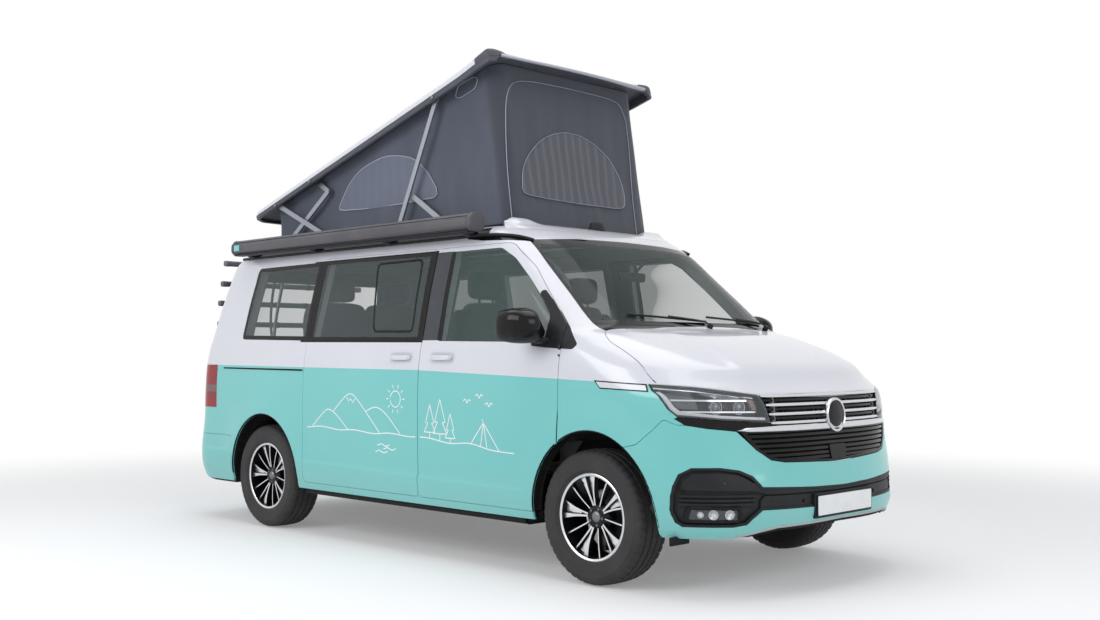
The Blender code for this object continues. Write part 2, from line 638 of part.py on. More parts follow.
bonnet = cut(hull("bonnet"), bonnet_under)
keep(bonnet, prism("bonnet_edge", BONNET, "plan", 0.9715, 1.60))
cut(bonnet, *lamp_rooms)
lug_limit = prism("lug_limit", offset(BONNET, SHUT_GAP - SEAT_GAP), "plan", 0.90, 1.60)
for sign in (-1, 1):
    x0, x1 = sorted((sign * 0.760, sign * 0.785))
    lug = box("bonnet_lug", (x0, -0.010, 1.258), (x1, 0.040, 1.270))
    join(bonnet, keep(lug, lug_limit))
finish(bonnet, "white_paint")
body_axis("bonnet_axis", (0, *BONNET_HINGE), None, bonnet)

tailgate = skin_panel("tailgate", TAILGATE, "front", 3.30, 4.40, under_skin, "mint_paint")
cut(tailgate, tailgate_window_cut)
cut(tailgate, *tail_rooms)
for x in (-0.45, 0.45):
    join(tailgate, box("tailgate_lug", (x - 0.03, 3.700, TAILGATE_TOP - 0.01),
                       (x + 0.03, 3.722, TAILGATE_TOP + SHUT_GAP - SEAT_GAP)))
tailgate_glass = pane("tailgate_glass", TAILGATE_WINDOW, "front", 3.30, 4.40, "dark_glass")

# Cycle carrier: a hoop on the tailgate and a platform of four rails that folds down
HOOP_HALF = 0.260
HOOP_TUBE = 0.016
HOOP_SIDE = [(3.962, 0.80), (3.966, 1.16), (3.935, 1.40), (3.870, 1.62), (3.815, 1.775)]
PLATFORM_HINGE = (3.995, 1.200)
RAIL_PLACES = [(4.032, 1.859), (4.074, 1.706), (4.109, 1.559), (4.118, 1.401)]
RAIL_HALF = 0.650
route = [(-HOOP_HALF, y, z) for y, z in HOOP_SIDE] + [(HOOP_HALF, y, z) for y, z in reversed(HOOP_SIDE)]
carrier_frame = tube("carrier_frame", route, HOOP_TUBE)
tailgate_face = hull("tailgate_face", -SEAT_GAP, -SEAT_GAP)
for x in (-HOOP_HALF, HOOP_HALF):
    for y, z in (HOOP_SIDE[0], HOOP_SIDE[-1]):
        foot = box("foot", (x - 0.012, y - 0.120, z - 0.012), (x + 0.012, y, z + 0.012))
        join(carrier_frame, cut(foot, tailgate_face))
EAR_X = 0.245
for side in (-1, 1):
    x = side * HOOP_HALF
    join(carrier_frame, box("hinge_ear", (x - 0.010, 3.955, 1.185), (x + 0.010, 4.010, 1.215)),
         rod("hinge_bar", (side * EAR_X, *PLATFORM_HINGE), (x + side * 0.004, *PLATFORM_HINGE), 0.012))
finish(carrier_frame, "grey_alloy")

ARM_X = 0.222
ARM_SIDE = [(3.985, 1.185), (4.010, 1.190), (4.093, 1.400), (4.085, 1.560), (4.050, 1.710), (4.012, 1.875),
            (3.985, 1.870), (4.020, 1.700), (4.052, 1.550), (4.060, 1.400)]
carrier_platform = prism("carrier_platform", ARM_SIDE, "side", ARM_X - 0.012, ARM_X + 0.012)
other_arm = prism("other_arm", ARM_SIDE, "side", -ARM_X - 0.012, -ARM_X + 0.012)
RAIL_TALL = 0.044
RAIL_DEEP = 0.040
for number, (y, z) in enumerate(RAIL_PLACES):
    rail = box(f"rail_{number}", (-RAIL_HALF, y - RAIL_DEEP, z - RAIL_TALL / 2),
               (RAIL_HALF, y + 0.022, z + RAIL_TALL / 2), 0.008)
    join(carrier_platform, rail)
join(carrier_platform, other_arm)
for side in (-1, 1):
    join(carrier_platform, rod("pivot", (side * ARM_X, *PLATFORM_HINGE),
                               (side * (EAR_X - SEAT_GAP), *PLATFORM_HINGE), 0.010))
finish(carrier_platform, "grey_alloy")

tailgate_axis = body_axis("tailgate_axis", (0, *TAILGATE_HINGE), None,
                          tailgate, tailgate_glass, carrier_frame)
body_axis("carrier_axis", (0, *PLATFORM_HINGE), tailgate_axis, carrier_platform)

# Awning in its cassette on the right roof edge
AWNING_FRONT, AWNING_REAR = 0.930, 3.490
# the case hangs beside the body's edge under the roof, which is the third section from the top,
# and clear of the lifting roof's links
LINK_CLEARANCE = 0.070
AWNING_INNER = min(-SECTIONS[-3][1] - 0.045, -ROOF_HALF - LINK_CLEARANCE)
AWNING_X = AWNING_INNER - 0.115
AWNING = [(AWNING_X + 0.115, 1.885), (AWNING_X + 0.085, 1.872), (AWNING_X + 0.022, 1.872),
          (AWNING_X, 1.895), (AWNING_X, 1.945), (AWNING_X + 0.025, 1.976), (AWNING_X + 0.075, 1.982),
          (AWNING_X + 0.115, 1.965)]
awning = prism("awning", AWNING, "front", AWNING_FRONT, AWNING_REAR)
body_guard = hull("body_guard", -SEAT_GAP, -SEAT_GAP)
BRACKETS = (1.05, 1.80, 2.60, 3.36)
for place in BRACKETS:
    bracket = box("awning_bracket", (AWNING_X + 0.085, place, 1.852),
                  (AWNING_X + 0.215, place + 0.05, 1.892))
    join(awning, cut(bracket, body_guard))
finish(awning, "anthracite")

# Fixed roof frame: the canvas rail and the white fairing above the windscreen
roof_frame = box("roof_frame", (-FRAME_HALF, 0.880, ROOF_PLATE + SEAT_GAP),
                 (FRAME_HALF, 3.380, CANVAS_FOOT - SEAT_GAP))
cut(roof_frame, box("rail_inside", (-HATCH_HALF - 0.02, HATCH_ENDS[0], 1.80),
                    (HATCH_HALF + 0.02, HATCH_ENDS[1], ABOVE_ROOF)))
FAIRING_REAR = 0.873
FAIRING_SIDE = [(0.600, 1.80), (0.620, 1.890), (0.680, 1.922), (0.760, 1.950), (FAIRING_REAR, 1.962),
                (FAIRING_REAR, 1.80)]
FAIRING_HALF = FRAME_HALF + 0.066
FAIRING_PLAN_HALF = [(0.0, 0.625), (FAIRING_HALF - 0.300, 0.660), (FAIRING_HALF - 0.060, 0.745),
                     (FAIRING_HALF - 0.010, 0.800), (FAIRING_HALF, FAIRING_REAR)]
FAIRING_PLAN = FAIRING_PLAN_HALF + [(-x, y) for x, y in reversed(FAIRING_PLAN_HALF[1:])]
fairing = prism("fairing", FAIRING_SIDE, "side", -FAIRING_HALF, FAIRING_HALF)
keep(fairing, prism("fairing_plan", FAIRING_PLAN, "plan", 1.70, ABOVE_ROOF))
cut(fairing, hull("fairing_bed", -SEAT_GAP, -SEAT_GAP))
FAIRING_DIP = FAIRING_HALF - 0.200
FAIRING_ROOT = (FAIRING_REAR - 0.013, FAIRING_REAR + 0.027)
cut(fairing, box("fairing_dip", (-FAIRING_DIP, 0.700, 1.936), (FAIRING_DIP, FAIRING_ROOT[1], ABOVE_ROOF)))
cut(fairing, box("fairing_trim", (-FAR, 0.50, 1.70), (FAR, 0.95, ROOF_PLATE - 0.05)))
join(roof_frame, box("fairing_root", (-FAIRING_DIP, FAIRING_ROOT[0], ROOF_PLATE + SEAT_GAP),
                     (FAIRING_DIP, FAIRING_ROOT[1], CANVAS_FOOT - 0.0023)), fairing)
finish(roof_frame, "white_paint")

# Lifting roof, drawn level and then pitched about its rear pivot
ROOF_TOP = ROOF_PIVOT_DEPTH
FLANGE_FOOT = 1.911 - (ROOF_TOP_CLOSED - ROOF_PIVOT_DEPTH)
ROOF_CROSS = [(-ROOF_HALF, FLANGE_FOOT), (ROOF_HALF, FLANGE_FOOT), (ROOF_HALF, ROOF_TOP - 0.022),
              (ROOF_HALF - 0.020, ROOF_TOP - 0.006), (ROOF_HALF - 0.325, ROOF_TOP),
              (-ROOF_HALF + 0.325, ROOF_TOP),
              (-ROOF_HALF + 0.020, ROOF_TOP - 0.006), (-ROOF_HALF, ROOF_TOP - 0.022)]
ROOF_PLAN_HALF = [(0.0, ROOF_FRONT), (ROOF_HALF - 0.375, ROOF_FRONT + 0.012),
                  (ROOF_HALF - 0.125, ROOF_FRONT + 0.035), (ROOF_HALF - 0.035, ROOF_FRONT + 0.065),
                  (ROOF_HALF, ROOF_FRONT + 0.120), (ROOF_HALF, ROOF_REAR - 0.110),
                  (ROOF_HALF - 0.030, ROOF_REAR - 0.045), (ROOF_HALF - 0.105, ROOF_REAR),
                  (0.0, ROOF_REAR)]
ROOF_PLAN = ROOF_PLAN_HALF + [(-x, y) for x, y in reversed(ROOF_PLAN_HALF[1:-1])]
pop_roof = prism("pop_roof", ROOF_CROSS, "front", ROOF_FRONT - 0.1, ROOF_REAR + 0.1)
keep(pop_roof, prism("roof_plan", ROOF_PLAN, "plan", -0.2, 0.2))
roof_room = prism("roof_room", offset(ROOF_PLAN, -ROOF_FLANGE), "plan", -0.3, ROOF_TOP - ROOF_SKIN)
# the front flange is shallower, so that it comes down in front of the canvas rail's top
FRONT_LIP = 1.936 - (ROOF_TOP_CLOSED - ROOF_PIVOT_DEPTH)
LIP_HALF = CANVAS_HALF + 0.025
lip_room = box("lip_room", (-LIP_HALF, ROOF_FRONT - 0.1, -0.3), (LIP_HALF, ROOF_FRONT + 0.085, FRONT_LIP))
cut(pop_roof, roof_room, lip_room)
ELBOW_LOCAL = Vector((ELBOW_HEAD[0] - LINK_HEAD[0], ELBOW_HEAD[1] - LINK_HEAD[1]))
elbow_y = ELBOW_LOCAL.x * math.cos(ROOF_PITCH) - ELBOW_LOCAL.y * math.sin(ROOF_PITCH)
elbow_z = ELBOW_LOCAL.x * math.sin(ROOF_PITCH) + ELBOW_LOCAL.y * math.cos(ROOF_PITCH)
for sign in (-1, 1):
    x0, x1 = sorted((sign * (CHANNEL_IN - 0.003), sign * (PLANE_IN - SEAT_GAP)))
    join(pop_roof, box("elbow_bracket", (x0, elbow_y - 0.02, elbow_z - 0.012),
                       (x1, elbow_y + 0.02, ROOF_TOP - 0.02)))
finish(pop_roof, "white_paint")
pop_roof.rotation_euler = (-ROOF_PITCH, 0, 0)
pop_roof.location = (0, *LINK_HEAD)
for step in pop_roof.modifiers:
    step.object.rotation_euler = (-ROOF_PITCH, 0, 0)
    step.object.location = (0, *LINK_HEAD)


def link(name, foot, head, plane, foot_pin, head_pin, side):
    # a flat bar with round ends, and a pin at each end that has one: pin = how far it reaches in x
    sign = 1 if side == "left" else -1
    span = Vector(head) - Vector(foot)
    along = span.normalized()
    angle = math.atan2(along.y, along.x)
    ring = []
    for centre, turn in ((head, 0.0), (foot, math.pi)):
        for step in range(7):
            a = angle + turn - math.pi / 2 + math.pi * step / 6
            ring.append((centre[0] + LINK_HEIGHT / 2 * math.cos(a),
                         centre[1] + LINK_HEIGHT / 2 * math.sin(a)))
    x0, x1 = sorted((sign * plane, sign * (plane + LINK_THICK)))
    bar = prism(f"{name}_{side}", ring, "side", x0, x1)
    for centre, reach in ((foot, foot_pin), (head, head_pin)):
        if reach is not None:
            middle = sign * (plane + LINK_THICK / 2)
            join(bar, rod("pin", (middle, *centre), (sign * reach, *centre), PIN_RADIUS, 12))
    return finish(bar, "grey_alloy", f"{name}_{side}")


OUT_WALL = CHANNEL_OUT - SEAT_GAP
IN_WALL = CHANNEL_IN + SEAT_GAP
for side in ("left", "right"):
    rear_link = link("rear_link", LINK_FOOT, LINK_HEAD, PLANE_OUT, OUT_WALL, OUT_WALL, side)
    strut = link("roof_strut", STRUT_FOOT, STRUT_HEAD, PLANE_OUT, None, OUT_WALL, side)
    brace = link("strut_brace", BRACE_FOOT, BRACE_HEAD, PLANE_MID, IN_WALL, None, side)
    arm = link("fold_arm", ARM_FOOT, ARM_HEAD, PLANE_MID, IN_WALL, None, side)
    elbow = link("elbow_link", ARM_HEAD, ELBOW_HEAD, PLANE_IN, None, PLANE_IN, side)
    body_axis("rear_link_axis_" + side, (0, *LINK_FOOT), None, rear_link)
    body_axis("brace_axis_" + side, (0, *BRACE_FOOT), None, brace)
    body_axis("arm_axis_" + side, (0, *ARM_FOOT), None, arm)
    body_axis("strut_axis_" + side, (0, *STRUT_HEAD), None, strut)
    body_axis("elbow_axis_" + side, (0, *ELBOW_HEAD), None, elbow)

# Canvas: a hollow wall between the rail and the lifting roof
SLOPE = math.tan(ROOF_PITCH)


def roof_under(y, gap):
    # height of the lifted roof's inner face at a place along the van
    skin = (ROOF_SKIN + gap - ROOF_PIVOT_DEPTH) / math.cos(ROOF_PITCH)
    return LINK_HEAD[1] - SLOPE * (y - LINK_HEAD[0]) - skin


def canvas_side(inset, foot, gap):
    front = (CANVAS_FRONT + inset, foot)
    rear = (CANVAS_REAR - inset, foot)
    top_front = CANVAS_FRONT + CANVAS_LEAN + inset
    top_rear = CANVAS_REAR - inset
    return [front, rear, (top_rear, roof_under(top_rear, gap)), (top_front, roof_under(top_front, gap))]


def canvas_plan(inset):
    corner = 0.10
    x = CANVAS_HALF - inset - corner
    rear, front = CANVAS_REAR - inset - corner, CANVAS_FRONT + inset + corner
    points = []
    for first, (x0, y0) in enumerate(((x, rear), (-x, rear), (-x, front), (x, front))):
        for step in range(5):
            a = math.pi / 2 * (first + step / 4)
            points.append((x0 + corner * math.cos(a), y0 + corner * math.sin(a)))
    return points


CANVAS_THICK = 0.010
canvas_outer = canvas_side(0.0, CANVAS_FOOT, SEAT_GAP)
canvas_inner = canvas_side(CANVAS_THICK, CANVAS_FOOT - 0.1, -0.1)
canvas = prism("canvas", canvas_outer, "side", -CANVAS_HALF, CANVAS_HALF)
keep(canvas, prism("canvas_plan", canvas_plan(0.0), "plan", 1.0, 3.5))
canvas_hollow = prism("canvas_hollow", canvas_inner, "side", -CANVAS_HALF, CANVAS_HALF)
keep(canvas_hollow, prism("hollow_plan", canvas_plan(CANVAS_THICK), "plan", 1.0, 3.5))
cut(canvas, canvas_hollow)
finish(canvas, "canvas")


# Wheels, knuckles and axles
TYRE_PROFILE = [
    # radius, distance along X
    (RIM_RADIUS + SEAT_GAP, -0.098),
    (RIM_RADIUS + 0.012, -0.108),
    (0.285, -TYRE_HALF_WIDTH),
    (0.322, -0.112),
    (0.340, -0.096),
    (TYRE_RADIUS, -0.060),
    (TYRE_RADIUS, 0.060),
    (0.340, 0.096),
    (0.322, 0.112),
    (0.285, TYRE_HALF_WIDTH),
    (RIM_RADIUS + 0.012, 0.108),
    (RIM_RADIUS + SEAT_GAP, 0.098),
]
BARREL_PROFILE = [
    # radius, distance along X, positive on the outer side
    (RIM_RADIUS, -RIM_HALF_WIDTH),
    (RIM_RADIUS, RIM_HALF_WIDTH - 0.004),
    (RIM_RADIUS - 0.006, RIM_HALF_WIDTH),
    (RIM_RADIUS - 0.016, RIM_HALF_WIDTH - 0.004),
    (RIM_RADIUS - 0.018, RIM_HALF_WIDTH - 0.030),
    (RIM_RADIUS - 0.018, -RIM_HALF_WIDTH),
]
HUB_SPREAD = math.radians(8.0)
RIM_SPREAD = math.radians(7.0)


def spoke_end(x, radius, turn):
    return Vector((x, radius * math.cos(turn), radius * math.sin(turn)))


def spokes(name, sign):
    # twin spokes, splayed from the hub, as separate bars that the rim and hub join
    bm = bmesh.new()
    for number in range(SPOKES):
        for lean in (-1, 1):
            turn = 2 * math.pi * number / SPOKES
            inner = spoke_end(sign * 0.064, HUB_RADIUS * 0.80, turn + lean * HUB_SPREAD)
            outer = spoke_end(sign * 0.078, RIM_RADIUS - 0.012, turn + lean * RIM_SPREAD)
            bar = bmesh.ops.create_cube(bm, size=1.0)["verts"]
            length = (outer - inner).length
            bmesh.ops.scale(bm, vec=(0.020, 0.011, length), verts=bar)
            along = (outer - inner).normalized()
            across = along.cross(Vector((1, 0, 0))).normalized()
            depth = across.cross(along).normalized()
            frame = Matrix((depth, across, along)).transposed().to_4x4()
            bmesh.ops.transform(bm, matrix=Matrix.Translation((outer + inner) / 2) @ frame, verts=bar)
    return from_bmesh(name, bm)


def wheel(corner, sign, y):
    centre = Vector((sign * TRACK_HALF, y, TYRE_RADIUS))
    tyre = turned("tyre_" + corner, TYRE_PROFILE, 30)
    rim = turned("rim_" + corner, [(r, sign * x) for r, x in BARREL_PROFILE], 30)
    hub = rod("hub_" + corner, (sign * (HUB_FACE - TRACK_HALF), 0, 0), (sign * 0.076, 0, 0), HUB_RADIUS)
    join(rim, hub, spokes("spokes_" + corner, sign))
    for piece in (tyre, rim, *[step.object for step in rim.modifiers]):
        piece.location = centre
    finish(tyre, "rubber")
    finish(rim, "machined_alloy")
    return tyre, rim, centre


SUSPENSION_TOP = 0.200
SPINDLE_RADIUS = 0.032
DISC_RADIUS = 0.128
DISC_X = (0.732, 0.756)
STUB_END = HUB_FACE - SEAT_GAP


def brake_disc(sign, y):
    inner, outer = sign * DISC_X[0], sign * DISC_X[1]
    return rod("disc", (inner, y, TYRE_RADIUS), (outer, y, TYRE_RADIUS), DISC_RADIUS, 20)


def knuckle(side, sign):
    spindle = rod("knuckle_" + side, (sign * 0.690, 0, TYRE_RADIUS), (sign * STUB_END, 0, TYRE_RADIUS),
                  SPINDLE_RADIUS, 20)
    x0, x1 = sorted((sign * 0.772, sign * 0.826))
    post = box("post", (x0, -0.024, SUSPENSION_TOP + SEAT_GAP), (x1, 0.024, TYRE_RADIUS))
    join(spindle, brake_disc(sign, 0.0), post)
    return finish(spindle, "steel")


for side, sign in (("left", 1), ("right", -1)):
    tyre, rim, centre = wheel("front_" + side, sign, 0.0)
    upright = knuckle(side, sign)
    axis = body_axis("steer_axis_" + side, (sign * KINGPIN_X, 0.0, TYRE_RADIUS), None, upright)
    body_axis("spin_axis_front_" + side, tuple(centre), axis, tyre, rim)
    tyre, rim, centre = wheel("rear_" + side, sign, WHEELBASE)
    body_axis("spin_axis_rear_" + side, tuple(centre), None, tyre, rim)

front_subframe = box("front_subframe", (-0.490, -0.16, 0.215), (0.490, 0.16, BODY_BOTTOM - SEAT_GAP), 0.01)
for sign in (-1, 1):
    x0, x1 = sorted((sign * 0.45, sign * 0.826))
    join(front_subframe, box("lower_arm", (x0, -0.024, 0.172), (x1, 0.024, SUSPENSION_TOP)))
    x0, x1 = sorted((sign * 0.43, sign * 0.486))
    join(front_subframe, box("arm_root", (x0, -0.05, 0.172), (x1, 0.05, 0.230)))
finish(front_subframe, "steel")

rear_axle = rod("rear_axle", (-STUB_END, WHEELBASE, TYRE_RADIUS), (STUB_END, WHEELBASE, TYRE_RADIUS),
                SPINDLE_RADIUS, 20)
AXLE_CLAMP = (TYRE_RADIUS - 0.035, TYRE_RADIUS + 0.030)
TRAILING_ARM = [(2.36, FLOOR_LOW - SEAT_GAP), (2.36, 0.37), (2.50, AXLE_CLAMP[0]),
                (3.03, AXLE_CLAMP[0]), (3.03, AXLE_CLAMP[1]), (2.62, 0.40), (2.52, FLOOR_LOW - SEAT_GAP)]
for sign in (-1, 1):
    x0, x1 = sorted((sign * 0.48, sign * 0.56))
    arm = prism("trailing_arm", TRAILING_ARM, "side", x0, x1)
    join(rear_axle, brake_disc(sign, WHEELBASE), arm)
finish(rear_axle, "steel")

# Under the floor and the bonnet
engine = box("engine", (-0.38, -0.46, BODY_BOTTOM), (0.38, -0.04, 0.90), 0.02)
finish(engine, "steel")
fuel_tank = box("fuel_tank", (0.02, 0.95, 0.270), (0.62, 1.75, FLOOR_LOW - SEAT_GAP), 0.02)
finish(fuel_tank, "black_plastic")
exhaust = box("exhaust", (-0.52, 2.00, 0.290), (-0.26, 2.28, FLOOR_LOW - SEAT_GAP), 0.02)
join(exhaust, rod("pipe", (-0.39, CAB_FLOOR_Y + 0.010, 0.385), (-0.39, 2.05, 0.385), 0.030, 12))
finish(exhaust, "steel")


# Inside
def cloth_block(name, blocks):
    first = box(name, *blocks[0], 0.02)
    for number, (low, high) in enumerate(blocks[1:]):
        join(first, box(f"{name}_{number}", low, high, 0.02))
    return finish(first, "seat_cloth")


for name, x in (("driver_seat", 0.43), ("passenger_seat", -0.43)):
    cloth_block(name, [
        ((x - 0.22, 0.86, FLOOR_HIGH + SEAT_GAP), (x + 0.22, 1.30, 0.82)),
        ((x - 0.25, 0.80, 0.80), (x + 0.25, 1.36, 0.95)),
        ((x - 0.25, 1.24, 0.90), (x + 0.25, 1.40, 1.50)),
        ((x - 0.13, 1.27, 1.48), (x + 0.13, 1.38, 1.68)),
    ])
cloth_block("rear_bench", [
    ((-0.62, 2.36, FLOOR_HIGH + SEAT_GAP), (0.36, 2.98, 0.84)),
    ((-0.64, 2.32, 0.82), (0.38, 3.00, 0.98)),
    ((-0.64, 2.88, 0.94), (0.38, 3.04, 1.55)),
    ((-0.50, 2.90, 1.53), (-0.24, 3.02, 1.70)),
    ((0.00, 2.90, 1.53), (0.26, 3.02, 1.70)),
])
kitchen_unit = box("kitchen_unit", (0.45, 1.62, FLOOR_HIGH + SEAT_GAP), (0.655, 3.40, 1.18), 0.01)
join(kitchen_unit, box("kitchen_front", (0.50, 1.625, 0.60), (0.84, 2.50, 1.175), 0.01),
     box("kitchen_top", (0.52, 2.40, 0.83), (0.84, 3.395, 1.176), 0.01))
finish(kitchen_unit, "pale_board")

DASH_SIDE = [(FIREWALL_Y + SEAT_GAP, 0.86), (0.42, 0.88), (0.50, 1.00), (0.46, 1.14), (0.30, 1.225),
             (FIREWALL_Y + SEAT_GAP, 1.225)]
STEERING_RADIUS = 0.195
GRIP_RADIUS = 0.014
dashboard = prism("dashboard", DASH_SIDE, "side", -0.80, 0.80)
GRIP = [(STEERING_RADIUS + GRIP_RADIUS * math.cos(math.pi * i / 4), GRIP_RADIUS * math.sin(math.pi * i / 4))
        for i in range(8)]
steering_wheel = turned("steering_wheel", GRIP, 20)
bar = box("wheel_bar", (-0.012, -STEERING_RADIUS, -0.02), (0.012, STEERING_RADIUS, 0.02))
# the wheel is turned about X and then leant back over the column
WHEEL_TILT = Matrix.Translation((0.40, 0.66, 1.09)) @ Matrix.Rotation(math.radians(-62), 4, "X")
for piece in (steering_wheel, bar):
    piece.data.transform(WHEEL_TILT @ Matrix.Rotation(math.radians(-90), 4, "Y"))
column = rod("column", (0.40, 0.67, 1.095), (0.40, 0.38, 0.98), 0.035, 12)
join(dashboard, column, bar, steering_wheel)
finish(dashboard, "black_plastic")
for thing in parts.objects:
    if thing.type == "MESH":
        thing.data.shade_smooth()
        thing.data.set_sharp_from_angle(angle=math.radians(35))
print("nodes", sum(1 for thing in parts.objects if thing.type == "MESH"))
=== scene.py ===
# Dressed model of a camper van over its CAD frame.
# Everything is drawn from the front axle and moved onto the frame when a piece is finished.
import bpy
import bmesh
import math
import numpy
from mathutils import Matrix, Vector


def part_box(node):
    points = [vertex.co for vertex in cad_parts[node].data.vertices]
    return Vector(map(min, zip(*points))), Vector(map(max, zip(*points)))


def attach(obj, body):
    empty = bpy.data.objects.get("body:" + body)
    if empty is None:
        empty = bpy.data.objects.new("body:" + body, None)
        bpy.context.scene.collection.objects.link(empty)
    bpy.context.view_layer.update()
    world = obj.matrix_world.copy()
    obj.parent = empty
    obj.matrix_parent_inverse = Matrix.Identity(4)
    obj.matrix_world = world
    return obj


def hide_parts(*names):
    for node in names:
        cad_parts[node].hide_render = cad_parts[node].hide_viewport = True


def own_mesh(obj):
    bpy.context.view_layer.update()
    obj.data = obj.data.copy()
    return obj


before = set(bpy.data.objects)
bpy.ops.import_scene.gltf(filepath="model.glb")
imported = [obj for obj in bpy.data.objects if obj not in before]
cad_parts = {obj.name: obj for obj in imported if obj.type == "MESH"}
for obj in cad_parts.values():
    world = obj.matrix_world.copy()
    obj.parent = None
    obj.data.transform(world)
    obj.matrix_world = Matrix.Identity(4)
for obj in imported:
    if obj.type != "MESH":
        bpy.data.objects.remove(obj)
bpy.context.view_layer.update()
low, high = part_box("tyre_front_left")
axleY = (low[1] + high[1]) / 2


def lift(colour):
    # screen colour, 0 to 255, as the linear value that a socket takes
    steps = [c / 255 for c in colour]
    return [c / 12.92 if c <= 0.04045 else ((c + 0.055) / 1.055) ** 2.4 for c in steps]


# Camera at the photograph's place
camera = bpy.data.objects.new("camera", bpy.data.cameras.new("camera"))
bpy.context.scene.collection.objects.link(camera)
camera.location = (-5.455, -4.199 + axleY, 1.176)
camera.rotation_euler = (math.radians(92.05), 0, math.radians(-45.32))
camera.data.sensor_width = 36
camera.data.lens = 39.72
bpy.context.scene.camera = camera


# Materials

class Wire:
    # the output of a node, which takes part in sums
    def __init__(self, paint, socket):
        self.paint = paint
        self.socket = socket

    def sum(self, operation, first, second=0.0):
        return self.paint.node("ShaderNodeMath", {"operation": operation}, {0: first, 1: second})

    def __add__(self, other):
        return self.sum("ADD", self, other)

    def __radd__(self, other):
        return self.sum("ADD", other, self)

    def __sub__(self, other):
        return self.sum("SUBTRACT", self, other)

    def __rsub__(self, other):
        return self.sum("SUBTRACT", other, self)

    def __mul__(self, other):
        return self.sum("MULTIPLY", self, other)

    def __rmul__(self, other):
        return self.sum("MULTIPLY", other, self)

    def __truediv__(self, other):
        return self.sum("DIVIDE", self, other)

    def __pow__(self, other):
        return self.sum("POWER", self, other)

    def __gt__(self, other):
        return self.sum("GREATER_THAN", self, other)

    def __lt__(self, other):
        return self.sum("LESS_THAN", self, other)

    def __abs__(self):
        return self.sum("ABSOLUTE", self)

    def sine(self):
        return self.sum("SINE", self)

    def clip(self):
        return self.paint.node("ShaderNodeClamp", {}, {0: self})


class Paint:
    def __init__(self, name, colour, roughness, metallic=0.0, **constants):
        self.material = bpy.data.materials.new(name)
        self.material.use_nodes = True
        self.tree = self.material.node_tree
        self.surface = self.tree.nodes["Principled BSDF"]
        self.colour = (*lift(colour), 1)
        self.surface.inputs["Base Color"].default_value = self.colour
        self.surface.inputs["Roughness"].default_value = roughness
        self.surface.inputs["Metallic"].default_value = metallic
        for socket, value in constants.items():
            self.surface.inputs[socket.replace("_", " ")].default_value = value

    def node(self, kind, settings, inputs, output=0):
        made = self.tree.nodes.new(kind)
        for key, value in settings.items():
            setattr(made, key, value)
        for key, value in inputs.items():
            self.join(value, made.inputs[key])
        return Wire(self, made.outputs[output])

    def join(self, value, socket):
        if isinstance(value, Wire):
            self.tree.links.new(value.socket, socket)
        else:
            socket.default_value = value

    def feed(self, name, value):
        self.join(value, self.surface.inputs[name])

    def place(self):
        return self.node("ShaderNodeTexCoord", {}, {}, "Object")

    def axes(self):
        place = self.place()
        return [self.node("ShaderNodeSeparateXYZ", {}, {0: place}, i) for i in range(3)]

    def grain(self, scale, detail=2.0, stretch=(1, 1, 1)):
        place = self.node("ShaderNodeMapping", {}, {"Vector": self.place(), "Scale": stretch})
        return self.node("ShaderNodeTexNoise", {}, {"Vector": place, "Scale": scale, "Detail": detail})

    def blend(self, factor, first, second):
        def colour(value):
            return value if isinstance(value, Wire) else (*lift(value), 1)
        return self.node("ShaderNodeMix", {"data_type": "RGBA"},
                         {0: factor, 6: colour(first), 7: colour(second)}, 2)

    def bump(self, height, strength, distance=0.001):
        normal = self.node("ShaderNodeBump", {}, {"Height": height, "Strength": strength,
                                                  "Distance": distance})
        self.feed("Normal", normal)

    def ease(self, value, start, end):
        return self.node("ShaderNodeMapRange", {"interpolation_type": "SMOOTHSTEP"},
                         {"Value": value, "From Min": start, "From Max": end})


def paintWork(name, colour, deeper, roughness):
    # body colour: slight change of tone, a fine orange peel, clear coat and road dust low down
    paint = Paint(name, colour, roughness, Coat_Weight=0.6, Coat_Roughness=0.04)
    z = paint.axes()[2]
    tone = paint.blend(paint.grain(1.3, 2.0), colour, deeper)
    dust = (1.0 - paint.ease(z, 0.28, 0.62)) * paint.grain(9.0, 4.0) * 0.22
    paint.feed("Base Color", paint.blend(dust, tone, (168, 166, 158)))
    paint.feed("Roughness", roughness + dust * 0.9 + paint.grain(260.0, 1.0) * 0.02)
    paint.bump(paint.grain(420.0, 1.0), 0.04, 0.0004)
    return paint.material


def plainPlastic(name, colour, paler, roughness, size=900.0, strength=0.25, shine=0.22):
    # moulded plastic: a fine grain and faint scuffs
    paint = Paint(name, colour, roughness, Specular_IOR_Level=shine)
    scuff = paint.ease(paint.grain(14.0, 5.0), 0.45, 0.85)
    paint.feed("Base Color", paint.blend(scuff * 0.5, colour, paler))
    paint.feed("Roughness", roughness + scuff * 0.12)
    paint.bump(paint.grain(size, 2.0), strength, 0.0005)
    return paint.material


def metal(name, colour, roughness, stretch=(1, 1, 1), scale=60.0):
    paint = Paint(name, colour, roughness, 1.0)
    marks = paint.grain(scale, 4.0, stretch)
    paint.feed("Roughness", roughness + marks * 0.16)
    paint.feed("Base Color", paint.blend(marks * 0.35, colour, [c * 0.78 for c in colour]))
    paint.bump(marks, 0.05, 0.0004)
    return paint.material


def glass(name, colour, alpha, roughness=0.02):
    # thin glass: see-through, and more of a mirror at a glancing look
    paint = Paint(name, colour, roughness, IOR=1.5, Specular_IOR_Level=0.7)
    glance = paint.node("ShaderNodeLayerWeight", {}, {"Blend": 0.35}, "Fresnel")
    film = paint.grain(5.0, 3.0) * 0.05
    paint.feed("Alpha", (alpha + film + glance * 0.55).clip())
    paint.feed("Roughness", roughness + paint.grain(18.0, 3.0) * 0.02)
    return paint.material


